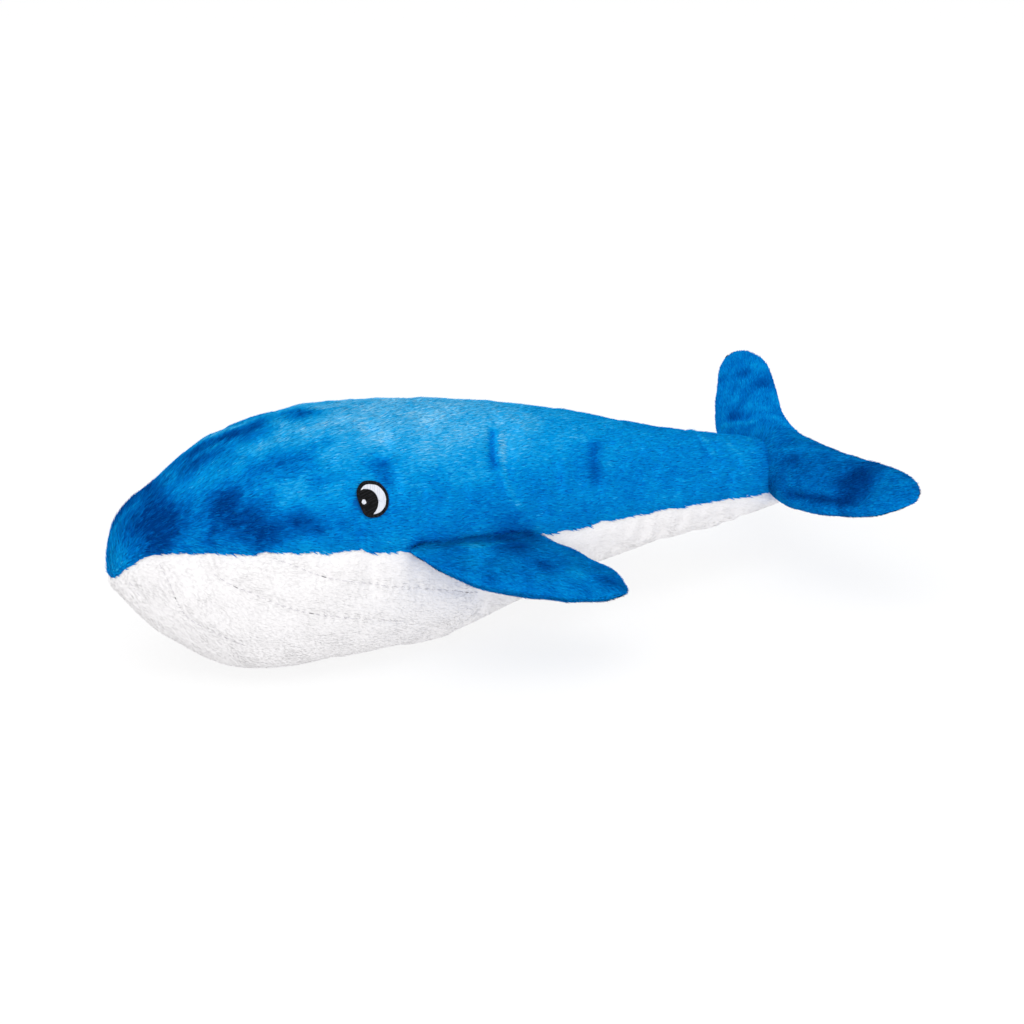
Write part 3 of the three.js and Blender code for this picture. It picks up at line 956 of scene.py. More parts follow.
@dataclass(frozen=True)
class Finishes:
    """The whale's materials, each made once."""

    blue: bpy.types.Material
    white: bpy.types.Material
    blue_pile: tuple
    white_pile: tuple
    black_thread: bpy.types.Material
    white_thread: bpy.types.Material
    soft_black: bpy.types.Material
    soft_white: bpy.types.Material
    grey_thread: bpy.types.Material
    pale_thread: bpy.types.Material
    blue_thread: bpy.types.Material
    filling: bpy.types.Material

    @classmethod
    def make(cls) -> Finishes:
        """Makes them all.

        Returns:
            The materials.
        """
        blues = ("#003f8b", "#004fa2", "#005fb5", "#0071c8", "#0284d6", "#0696e0", "#24a6e8", "#52b8ef",
                 "#86cdf5")
        whites = ("#f3f1f2", "#f4f2f3", "#f5f3f4")
        return cls(
            blue=Plush("dyed short-pile plush, blue", "#0660b2", "#047ace", "#0a92de", 0.05,
                       "#9fd4ff").make(),
            white=Plush("short-pile plush, white", "#f0eeef", "#f3f1f2", "#f5f3f4", 0.05, "#ffffff").make(),
            blue_pile=tuple(Fibre(f"blue pile fibre {i}", c).make() for i, c in enumerate(blues)),
            white_pile=tuple(Fibre(f"white pile fibre {i}", c).make() for i, c in enumerate(whites)),
            black_thread=Thread("embroidery thread, black", "#0f1013", "#060607", 0.1).make(),
            # lighter and deeper copies of the embroidery threads: painted light that varies from strand to
            # strand
            soft_black=Thread("embroidery thread, black, catching the light", "#25252a", "#121215",
                              0.15).make(),
            white_thread=Thread("embroidery thread, white", "#e9ebf1", "#d2d6e2").make(),
            soft_white=Thread("embroidery thread, white, in shade", "#d4d8e4", "#bfc4d4").make(),
            # a deeper copy of the pale thread: painted shade on groove stitches that lie deep
            grey_thread=Thread("sewing thread, grey", "#77767a", "#4c4b50").make(),
            pale_thread=Thread("sewing thread, pale grey", "#dfdde1", "#cac8ce").make(),
            blue_thread=Thread("sewing thread, blue", "#0a5fb4", "#064488").make(),
            filling=Plush("loose polyester filling", "#d9d6cf", "#efece5", "#f7f5f0", 0.05, "#ffffff").make(),
        )


class Side(Enum):
    """The whale's sides, by the sign of Y."""

    LEFT = -1
    RIGHT = 1

    @property
    def word(self) -> str:
        """Gives the side's name."""
        return self.name.lower()


def place_on(piece: bpy.types.Object, body: str, nodes: Sequence[str] = (),
             blend: Sequence[Place] | None = None) -> None:
    """Lets a piece ride on a body and the nodes that it replaces, and reports it.

    Args:
        piece: The piece, whose mesh is final.
        body: The body.
        nodes: The nodes that it replaces.
        blend: Where it stops following the whale's body and where it follows its own, if it bends.
    """
    if blend:
        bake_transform(piece, "body", body, *blend)
    else:
        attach(piece, body)
    if nodes:
        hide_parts(*nodes)
    log.info("%s moves with %s", piece.name, body)


@dataclass(frozen=True)
class Dent:
    """A fold or a stitched line pressed into the plush, along a path on the left side or the right."""

    path: tuple
    depth: float
    width: float
    painted_shade: float = 0.0  # painted shade in the dent: how many units deeper the pile's shades are in it; below 0, a painted highlight on a raised ridge

    def press(self, points: np.ndarray, side: int) -> np.ndarray:
        """Gives how deep the dent is at points, fading at the path's ends.

        Args:
            points: The points.
            side: -1 on the left, 1 on the right.

        Returns:
            For each point, a share of the dent's depth.
        """
        path = through(np.array(self.path) * (1, -side, 1), 40)
        near = np.zeros(points.shape[:-1])
        for k, spot in enumerate(path):
            fade = min(1.0, 3.0 * math.sin(math.pi * (k + 0.5) / len(path)))
            near = np.maximum(near, fade * np.exp(-((points - spot) ** 2).sum(-1) / self.width**2))
        return near


@dataclass(frozen=True)
class Stitches:
    """A row of stitches: each shows as a short piece of thread lying on the cloth."""

    length: float = 2.4 * MM
    gap: float = 0.9 * MM
    thread: float = 0.42 * MM
    lift: float = 0.1 * MM
    painted_shade_share: float = 0.0  # share of the stitches in the second thread, a deeper copy of the first: painted shade

    def sew(self, name: str, paths: Sequence[np.ndarray], outward: Sequence[np.ndarray],
            *threads: bpy.types.Material) -> bpy.types.Object:
        """Sews stitches along paths.

        Args:
            name: The piece's name.
            paths: The points of each path.
            outward: For each path, a direction off the cloth at each point.
            *threads: The thread, and a deeper copy of it, painted shade for the stitches that lie deep in the
                      cloth.

        Returns:
            The piece.
        """
        axes, places = [], []
        for path, away in zip(paths, outward):
            run, pitch = run_along(path), self.length + self.gap
            starts = np.arange(pitch / 2, run[-1] - self.length, pitch)
            at = lambda values, place: np.stack([np.interp(place, run, values[:, k]) for k in range(3)], -1)
            first, last = at(path, starts), at(path, starts + self.length)
            up = unit(at(away, starts + self.length / 2))
            axes.append(strand_axes(last - first, up, self.thread))
            places.append((first + last) / 2 + up * self.lift)
        bead = bmesh.new()
        bmesh.ops.create_uvsphere(bead, u_segments=6, v_segments=5, radius=1)
        places = np.concatenate(places)
        kinds = np.random.default_rng(3).random(len(places)) < self.painted_shade_share
        return strewn(name, bead, np.concatenate(axes), places, threads, kinds)


# Places on the left side, in metres
GROOVES = (
    ((-0.1252, -0.0148, 0.0677), (-0.1230, -0.0178, 0.0632), (-0.1199, -0.0198, 0.0581)),
    ((-0.1116, -0.0273, 0.0811), (-0.1070, -0.0319, 0.0680), (-0.1035, -0.0335, 0.0574),
     (-0.0987, -0.0348, 0.0483), (-0.0890, -0.0391, 0.0405), (-0.0699, -0.0456, 0.0307)),
    ((-0.0874, -0.0435, 0.0759), (-0.0778, -0.0491, 0.0687), (-0.0663, -0.0548, 0.0630),
     (-0.0507, -0.0583, 0.0546), (-0.0377, -0.0603, 0.0495), (-0.0017, -0.0594, 0.0391),
     (0.0220, -0.0553, 0.0320)),
    ((-0.0571, -0.0550, 0.0842), (-0.0447, -0.0595, 0.0779), (-0.0314, -0.0620, 0.0708),
     (-0.0176, -0.0636, 0.0660), (0.0122, -0.0623, 0.0568), (0.0440, -0.0578, 0.0477),
     (0.0700, -0.0504, 0.0379)),
)
# Folds on the back panels, with painted shade in their creases; a negative depth raises a ridge with a
# painted highlight
FOLDS = (
    Dent(((0.0878, -0.0241, 0.1258), (0.0830, -0.0338, 0.1184), (0.0805, -0.0412, 0.1093)),
         1.7 * MM, 3.0 * MM, 1.4),
    Dent(((0.0923, -0.0238, 0.1251), (0.0879, -0.0345, 0.1161), (0.0853, -0.0415, 0.1069),
          (0.0877, -0.0470, 0.0935), (0.0942, -0.0489, 0.0829)), -0.5 * MM, 2.0 * MM, -0.64),
    Dent(((0.0811, -0.0414, 0.1087), (0.0826, -0.0460, 0.0985), (0.0890, -0.0480, 0.0890)),
         0.3 * MM, 3.5 * MM, 0.12),
    Dent(((0.1504, -0.0261, 0.1081), (0.1462, -0.0334, 0.1008), (0.1456, -0.0387, 0.0905)),
         0.9 * MM, 4.0 * MM, 1.0),
    Dent(((0.2314, -0.0030, 0.0947), (0.2318, -0.0125, 0.0915), (0.2342, -0.0195, 0.0846)),
         -0.5 * MM, 1.8 * MM, -0.8),
    Dent(((0.2466, -0.0063, 0.0904), (0.2494, -0.0137, 0.0861), (0.2530, -0.0172, 0.0822)),
         -0.4 * MM, 1.8 * MM, -0.6),
    Dent(((0.2280, -0.0030, 0.0950), (0.2285, -0.0125, 0.0920), (0.2310, -0.0195, 0.0850)),
         0.6 * MM, 2.4 * MM, 0.2),
    Dent(((0.2700, -0.0020, 0.0890), (0.2720, -0.0120, 0.0830), (0.2740, -0.0190, 0.0740)),
         0.8 * MM, 3.0 * MM, 0.6),
)
# Painted shade where the pile is brushed the other way, and a painted shadow in the pocket over the fin's
# root: place, reach and strength
BRUSHED_PAINTED_SHADE = (
    ((-0.1191, -0.0143, 0.0950), 0.010, 1.30), ((-0.1082, -0.0168, 0.1034), 0.009, 1.30),
    ((-0.1019, -0.0257, 0.0986), 0.009, 1.20), ((-0.1063, -0.0052, 0.1107), 0.007, 1.00),
    ((-0.1100, -0.0240, 0.0900), 0.008, 0.90), ((-0.0764, -0.0396, 0.1039), 0.009, 1.20),
    ((-0.0679, -0.0469, 0.0981), 0.009, 1.20), ((-0.0762, -0.0335, 0.1121), 0.007, 1.00),
    ((-0.0601, -0.0515, 0.0938), 0.007, 1.00), ((-0.0869, -0.0392, 0.0928), 0.006, 0.75),
    ((-0.0378, -0.0333, 0.1284), 0.010, 0.60), ((-0.0507, -0.0352, 0.1236), 0.009, 0.50),
    ((-0.0616, -0.0377, 0.1164), 0.009, 0.50), ((-0.0280, -0.0322, 0.1312), 0.007, 0.45),
    ((-0.0401, -0.0537, 0.1011), 0.006, 0.90), ((-0.0328, -0.0570, 0.0959), 0.005, 0.75),
    ((-0.0476, -0.0550, 0.0942), 0.006, 0.45), ((-0.0084, -0.0596, 0.0934), 0.004, 0.45),
    ((0.0092, -0.0439, 0.1218), 0.006, 1.25), ((0.0117, -0.0488, 0.1155), 0.004, 0.70),
    ((-0.0841, -0.0070, 0.1240), 0.007, 0.75), ((-0.0915, -0.0095, 0.1190), 0.005, 0.50),
    ((-0.0743, -0.0057, 0.1290), 0.006, 0.60), ((-0.0608, -0.0007, 0.1352), 0.007, 0.75),
    ((-0.0453, 0.0002, 0.1396), 0.006, 0.65), ((-0.0187, -0.0028, 0.1430), 0.007, 0.75),
    ((-0.0241, 0.0063, 0.1421), 0.005, 0.45), ((0.0853, -0.0415, 0.1069), 0.004, 0.25),
    ((0.0860, -0.0505, 0.0800), 0.005, 0.40), ((0.0788, -0.0528, 0.0700), 0.005, 1.10),
    ((0.0885, -0.0513, 0.0685), 0.005, 1.20), ((0.0976, -0.0497, 0.0660), 0.004, 1.00),
    ((0.0262, -0.0612, 0.0775), 0.004, 0.70),
)
# The same painted shade on the left fin and on the fluke; on the fin, a negative strength is a painted
# highlight
FIN_BRUSHED_PAINTED_LIGHT = (
    ((0.0775, -0.0690, 0.0730), 0.009, 1.3), ((0.0869, -0.0904, 0.0691), 0.006, 1.0),
    ((0.1199, -0.1043, 0.0591), 0.006, 0.6), ((0.0509, -0.0767, 0.0738), 0.008, -0.35),
    ((0.1045, -0.0983, 0.0642), 0.008, -0.3), ((0.0350, -0.0800, 0.0700), 0.007, 0.3),
)
FLUKE_BRUSHED_PAINTED_SHADE = (
    ((0.2966, -0.0740, 0.0790), 0.012, 0.9), ((0.3048, -0.0698, 0.0847), 0.010, 0.5),
    ((0.2903, -0.0756, 0.0728), 0.011, 0.7), ((0.2929, -0.0595, 0.0807), 0.009, 0.4),
    ((0.2860, -0.0450, 0.0760), 0.012, 0.30), ((0.3055, 0.0749, 0.0985), 0.006, 0.8),
    ((0.3100, 0.0537, 0.0964), 0.008, 0.8), ((0.2820, 0.0435, 0.0853), 0.006, 0.8),
    ((0.2790, -0.0293, 0.0792), 0.006, 0.5),
)
# Folds on the left fin and, below, on the fluke, with the same painted shade and painted highlights
FIN_FOLDS = (
    Dent(((0.0450, -0.0640, 0.0790), (0.0530, -0.0680, 0.0770), (0.0605, -0.0689, 0.0755),
          (0.0700, -0.0690, 0.0745), (0.0850, -0.0660, 0.0730)), -0.5 * MM, 2.4 * MM, -0.8),
    Dent(((0.0750, -0.0590, 0.0700), (0.0860, -0.0580, 0.0690), (0.0960, -0.0560, 0.0670)),
         0.6 * MM, 4.0 * MM, 1.0),
)
FLUKE_FOLDS = (
    Dent(((0.2713, -0.0375, 0.0616), (0.2758, -0.0496, 0.0637), (0.2813, -0.0631, 0.0656),
          (0.2900, -0.0820, 0.0682)), 1.4 * MM, 2.8 * MM, 1.0),
    Dent(((0.2760, -0.0210, 0.0800), (0.2734, -0.0296, 0.0737), (0.2717, -0.0341, 0.0680),
          (0.2705, -0.0360, 0.0600)), 0.5 * MM, 2.6 * MM, 0.3),
    Dent(((0.2766, 0.0480, 0.0741), (0.2766, 0.0361, 0.0801), (0.2792, 0.0235, 0.0850),
          (0.2840, 0.0140, 0.0859)), -0.6 * MM, 1.8 * MM, -1.0),
    Dent(((0.2800, 0.0440, 0.0800), (0.2800, 0.0361, 0.0830), (0.2830, 0.0260, 0.0870)),
         0.8 * MM, 2.4 * MM, 0.8),
)


@dataclass
class Body:
    """The stuffed body: two back panels that meet on top, and a belly panel below the side seam."""

    finishes: Finishes
    shape: BodyShape = BodyShape()
    rows: int = 250
    back_columns: int = 64
    belly_columns: int = 110
    coarse: tuple = (70, 11, 17)  # rows, and columns of a back panel and of the belly panel
    wall: float = 2.4 * MM
    under_pile: float = 0.9 * MM  # from the pile's surface to the cloth
    seam_pinch: float = 1.9 * MM
    seam_width: float = 4.5 * MM
    top_pinch: float = 0.5 * MM
    seam_waver: float = 0.015  # radians round the section
    nose_push: float = 2.2 * MM  # how far the stuffing fills out the nose
    nose_reach: float = 14 * MM
    lumps: float = 0.4 * MM
    lump_size: float = 34 * MM
    seam_calm: float = 8 * MM  # how near a seam the cloth has no lumps
    eye_calm: float = 13 * MM  # how near an eye the cloth has no lumps
    floor_calm: float = 6 * MM  # how high over the floor the cloth is pressed flat
    floor_hold: float = 1 * MM  # how high over the floor it is held
    eye_hold: float = 0.95  # how firmly it is held round an eye
    ends: tuple = (0.1, 0.97)  # shares along the body at which the nose ends and the tail's end starts
    end_lean: float = 0.003  # how far out the directions away from the middle lean there
    groove_depth: float = 1.2 * MM
    groove_width: float = 1.5 * MM
    groove_parting: float = 0.6 * MM  # how near a groove's middle no pile grows
    groove_painted_shade: float = 0.8  # painted shade in a groove: how many units deeper the pile's shades are there
    groove_shade: float = 2.5 * MM  # how far from it that fades
    seam_stand: float = 0.14  # how much steeper the pile stands at the side seam, in radians
    seam_stand_reach: float = 3 * MM
    full_pinch: float = 20 * MM  # the panel's width from which its seam is pinched in full
    least_pinch: float = 0.3
    top_firm: float = 0.75  # how far the seam on top keeps the cloth from swelling
    top_firm_reach: float = 16 * MM
    mottling: tuple = ((0.32, 21 * MM), (0.2, 9 * MM))  # how strong and how large, broad and fine
    head: float = -0.065  # where the nap is mottled most
    head_reach: float = 0.06
    off_head: float = 0.35  # share of the head's mottling that is everywhere
    raggedness: float = 0.35  # how uneven a brushed patch's edge is
    rag_size: float = 5 * MM
    top_painted_highlight: float = 1.15  # painted highlight: how much paler the pile's shades are along the top, where it faces up
    top_painted_highlight_at: float = 0.045
    top_painted_highlight_reach: float = 0.1
    eye_offset: tuple = (-0.3 * MM, -0.4 * MM)  # to the middle of an eye's outline, back and up
    seam_thread_lift: float = -0.6 * MM
    fill: float = 0.8  # how full the body is stuffed
    puff: Puff = Puff(slack=0.009, cap=0.8 * MM)
    back_pile: Pile = Pile(48000)
    back_tone: float = 4.55
    belly_pile: Pile = Pile(48000, length=3.0 * MM, width=0.75 * MM, depth=0.1 * MM, lean=math.radians(7),
                            scatter=0.25, uneven=0.03)
    belly_tone: float = 1.5

    def seam(self, s: np.ndarray) -> np.ndarray:
        """Gives the angle at which the side seam runs, not quite even, as it is sewn by eye.

        Args:
            s: Shares along the body.

        Returns:
            An angle for each share.
        """
        run = self.shape.behind(s) / MM
        waver = 0.5 * np.sin(run / 3.7 + 1) + 0.6 * np.sin(run / 6.5 + 2) + 0.35 * np.sin(run / 2.1)
        return self.shape.seam_turn(s) + self.seam_waver * waver * np.sin(math.pi * s)

    def formed(self, s: np.ndarray, turn: np.ndarray) -> np.ndarray:
        """Gives points of the cloth, a pile's height under the surface, with the nose filled out.

        Args:
            s: Shares along the body.
            turn: Angles round the section.

        Returns:
            The points.
        """
        points = self.shape.point(s, turn, self.under_pile)
        points[..., 0] -= self.nose_push * np.exp(-self.shape.behind(s) / self.nose_reach)
        return points

    def back_points(self, side: Side, s: np.ndarray, t: np.ndarray) -> np.ndarray:
        """Gives points of a back panel, s from nose to tail and t from the side seam to the top."""
        seam = self.seam(s)
        return self.formed(s, seam + (math.pi / 2 - seam) * t) * (1, -side.value, 1)

    def belly_points(self, s: np.ndarray, t: np.ndarray) -> np.ndarray:
        """Gives points of the belly panel, s from nose to tail and t from the right seam to the left."""
        return self.formed(s, -math.pi / 2 + (self.seam(s) + math.pi / 2) * (2 * t - 1))

    def level(self, points: np.ndarray) -> tuple[np.ndarray, np.ndarray]:
        """Finds where along the body points are, and how high it is widest there.

        Args:
            points: The points.

        Returns:
            For each point, the share along the body and the height of the widest level.
        """
        behind = np.clip(points[..., 0] + self.shape.nose_to_rest, 0, self.shape.length)
        along = self.shape.along(behind)
        return along, self.shape.section(along)[0]

    def outward(self, points: np.ndarray) -> np.ndarray:
        """Gives directions away from the body's middle line.

        Args:
            points: The points.

        Returns:
            A direction for each.
        """
        along, level = self.level(points)
        away = points - np.stack([points[..., 0], 0 * level, level], -1)
        nose, tail = self.ends
        away[..., 0] += self.end_lean * np.where(along < nose, -1, np.where(along > tail, 1, 0))
        return unit(away)

    def eye_spot(self, side: Side) -> np.ndarray:
        """Gives the middle of an eye."""
        back, up = self.eye_offset
        return self.shape.on_side(Eye.behind_nose + back, Eye.above_floor + up, side.value)

    def swollen(self) -> list[np.ndarray]:
        """Runs the cloth for the left back, the right back and the belly.

        Returns:
            For each panel, how far each coarse point moved.
        """
        rows, back, belly = self.coarse
        s = self.shape.rows(rows)[:, None]
        grids = [self.back_points(side, s, np.linspace(0, 1, back)[None]) for side in Side]
        grids.append(self.belly_points(s, np.linspace(0, 1, belly)[None]))
        held = []
        for grid in grids:
            hold = np.zeros(grid.shape[:2])
            hold[:, 0] = hold[:, -1] = hold[:3] = hold[-6:] = 1  # the seams, the nose and the tail's end
            for side in Side:
                hold[lengths(grid - self.eye_spot(side)) < self.eye_calm] = self.eye_hold
            hold[grid[..., 2] < self.floor_hold] = 1
            held.append(hold)
        return self.puff.swell(grids, held, [self.outward(grid) for grid in grids])

    def shaped(self, points: np.ndarray, moved: np.ndarray, seam_run: np.ndarray, top_run: np.ndarray,
               blue: bool, seed: int) -> Sheet:
        """Puts the cloth's swelling, its seams, folds and grooves on a panel, with painted shade and
        highlights in its folds and brushed patches.

        Args:
            points: The panel's points.
            moved: How far the cloth simulation moved each.
            seam_run: How far each is from the side seam.
            top_run: How far each is from the seam on top.
            blue: Whether it is a back panel.
            seed: Which lumps.

        Returns:
            The panel.
        """
        out = self.outward(points)
        calm = 1 - bell(np.minimum(seam_run, top_run), self.seam_calm)
        for side in Side:
            gap = lengths(points - self.eye_spot(side))
            calm = calm * (1 - np.exp(-((gap / self.eye_calm) ** 4)))
        rest = np.clip(points[..., 2] / self.floor_calm, 0, 1)
        step = self.lumps * waves(points, self.lump_size, seed) * calm * rest
        narrow = np.clip(seam_run.max(1, keepdims=True) / self.full_pinch, self.least_pinch, 1)
        step -= self.seam_pinch * narrow * bell(seam_run, self.seam_width) * rest
        step -= self.top_pinch * bell(top_run, self.seam_width)
        mottled = self.off_head + (1 - self.off_head) * bell(points[..., 0] - self.head, self.head_reach)
        mottling_and_light = mottled * sum(strength * waves(points * (0.6, 1, 1), size, seed + 1 + k)
                            for k, (strength, size) in enumerate(self.mottling))
        ragged = 1 + self.raggedness * waves(points, self.rag_size, seed + 3)
        for side in Side:
            if blue:
                # painted shade in each fold's crease, and a painted highlight on each ridge
                for fold in FOLDS:
                    pressed = fold.press(points, -side.value)
                    step -= fold.depth * pressed
                    mottling_and_light -= fold.painted_shade * pressed
                # painted shade where the pile is brushed the other way, and a painted shadow over the fin's
                # root
                for spot, reach, strength in BRUSHED_PAINTED_SHADE:
                    gap = lengths((points - np.array(spot) * (1, -side.value, 1)) * (0.8, 1, 1))
                    mottling_and_light -= strength * bell(gap, reach) * ragged
            else:
                for path in GROOVES:
                    step -= self.groove_depth * Dent(path, 1, self.groove_width).press(points, -side.value)
        loose = rest * (1 - self.top_firm * bell(top_run, self.top_firm_reach))
        points = points + moved * loose[..., None] + out * step[..., None]
        points[..., 2] = np.maximum(points[..., 2], OVER_FLOOR)
        return Sheet(points, mottling_and_light, self.seam_stand * blue * bell(seam_run, self.seam_stand_reach))

    def build(self) -> None:
        """Builds the three panels, their pile and their thread."""
        s, share = self.shape.rows(self.rows)[:, None], np.linspace(0, 1, self.rows)
        *backs, belly = self.swollen()
        eyes = [self.eye_spot(side) for side in Side]

        def under_eye(places: np.ndarray) -> np.ndarray:
            """Tells whether places are under an eye, where no pile grows."""
            return np.min([lengths((places - eye) * (1, 0.5, 1)) for eye in eyes], axis=0) < Eye.length / 2

        t, edges = np.linspace(0, 1, self.back_columns), []
        for side, moved in zip(Side, backs):
            points = self.back_points(side, s, t[None])
            run = run_across(points)
            sheet = self.shaped(points, spread(moved, share, t), run, run[:, -1:] - run, True,
                                40 + side.value)
            # painted highlight: paler pile where the back faces up, in a band along the body
            tops = np.clip((self.outward(points)[..., 2] - 0.55) / 0.4, 0, 1)  # 1 where it faces up
            pale = bell(points[..., 0] - self.top_painted_highlight_at, self.top_painted_highlight_reach)
            sheet.mottling_and_light = sheet.mottling_and_light + self.top_painted_highlight * tops * pale
            self.dress(f"back_plush_{side.word}", sheet, self.finishes.blue,
                       f"back_panel_{side.word}", self.back_pile, self.finishes.blue_pile, side.value + 5,
                       self.back_tone, under_eye)
            edges.append(sheet.points[:, 0])
            if side is Side.LEFT:
                edges.append(sheet.points[:, -1])
        t = np.linspace(0, 1, self.belly_columns)
        points = self.belly_points(s, t[None])
        run = run_across(points)
        sheet = self.shaped(points, spread(belly, share, t), np.minimum(run, run[:, -1:] - run),
                            np.full_like(run, 1.0), False, 60)
        grooves = [through(np.array(path) * (1, side.value, 1), 60) for side in Side for path in GROOVES]
        near = lambda places: np.min([distance_to_path(places, path[::4]) for path in grooves], axis=0)
        # painted shade in and beside the grooves
        sheet.mottling_and_light = sheet.mottling_and_light - self.groove_painted_shade * bell(near(sheet.points), self.groove_shade)
        self.dress("belly_plush", sheet, self.finishes.white, "belly_panel", self.belly_pile,
                   self.finishes.white_pile, 9, self.belly_tone,
                   lambda places: near(places) < self.groove_parting)
        seams = Stitches(lift=self.seam_thread_lift).sew(
            "body_seam_stitches", edges, [self.outward(edge) for edge in edges], self.finishes.blue_thread)
        place_on(seams, "body")
        self.sew_grooves(sheet, grooves)

    def sew_grooves(self, sheet: Sheet, grooves: Sequence[np.ndarray]) -> None:
        """Lays the grooves' stitches on the belly panel.

        Args:
            sheet: The panel.
            grooves: The grooves' paths.
        """
        flat = sheet.points.reshape(-1, 3)
        normals = sheet.normals(self.outward(sheet.points)).reshape(-1, 3)
        laid, off = [], []
        for path in grooves:
            index = np.array([((flat - spot) ** 2).sum(-1).argmin() for spot in path])
            lift = normals[index]
            laid.append(path + lift * ((flat[index] - path) * lift).sum(-1, keepdims=True))
            off.append(lift)
        stitches = Stitches(length=3.2 * MM, lift=0.35 * MM, painted_shade_share=0.1).sew(
            "groove_stitches", laid, off, self.finishes.pale_thread, self.finishes.grey_thread)
        place_on(stitches, "body")

    def dress(self, name: str, sheet: Sheet, cloth: bpy.types.Material, node: str, pile: Pile,
              shades: Sequence[bpy.types.Material], seed: int, tone: float, bare: Callable) -> None:
        """Makes one panel and its pile.

        Args:
            name: The panel's name.
            sheet: Its shape.
            cloth: Its finish.
            node: The solid that it replaces.
            pile: Its coat.
            shades: The coat's shades.
            seed: Which locks.
            tone: The coat's mean shade.
            bare: Tells for places whether no pile grows there.
        """
        outward = self.outward(sheet.points)
        half = np.hypot(sheet.points[..., 1], sheet.points[..., 2] - self.level(sheet.points)[1])
        panel = sheet.mesh(name, outward, self.wall, half, cloth)
        place_on(panel, "body", [node])
        down = -unit(np.gradient(sheet.points, axis=1))
        ways = unit(unit(np.gradient(sheet.points, axis=0)) + down * 1.5 * sheet.stand[..., None])
        place_on(pile.grow(f"{name}_pile", sheet, outward, ways, seed, shades, tone, bare), "body")


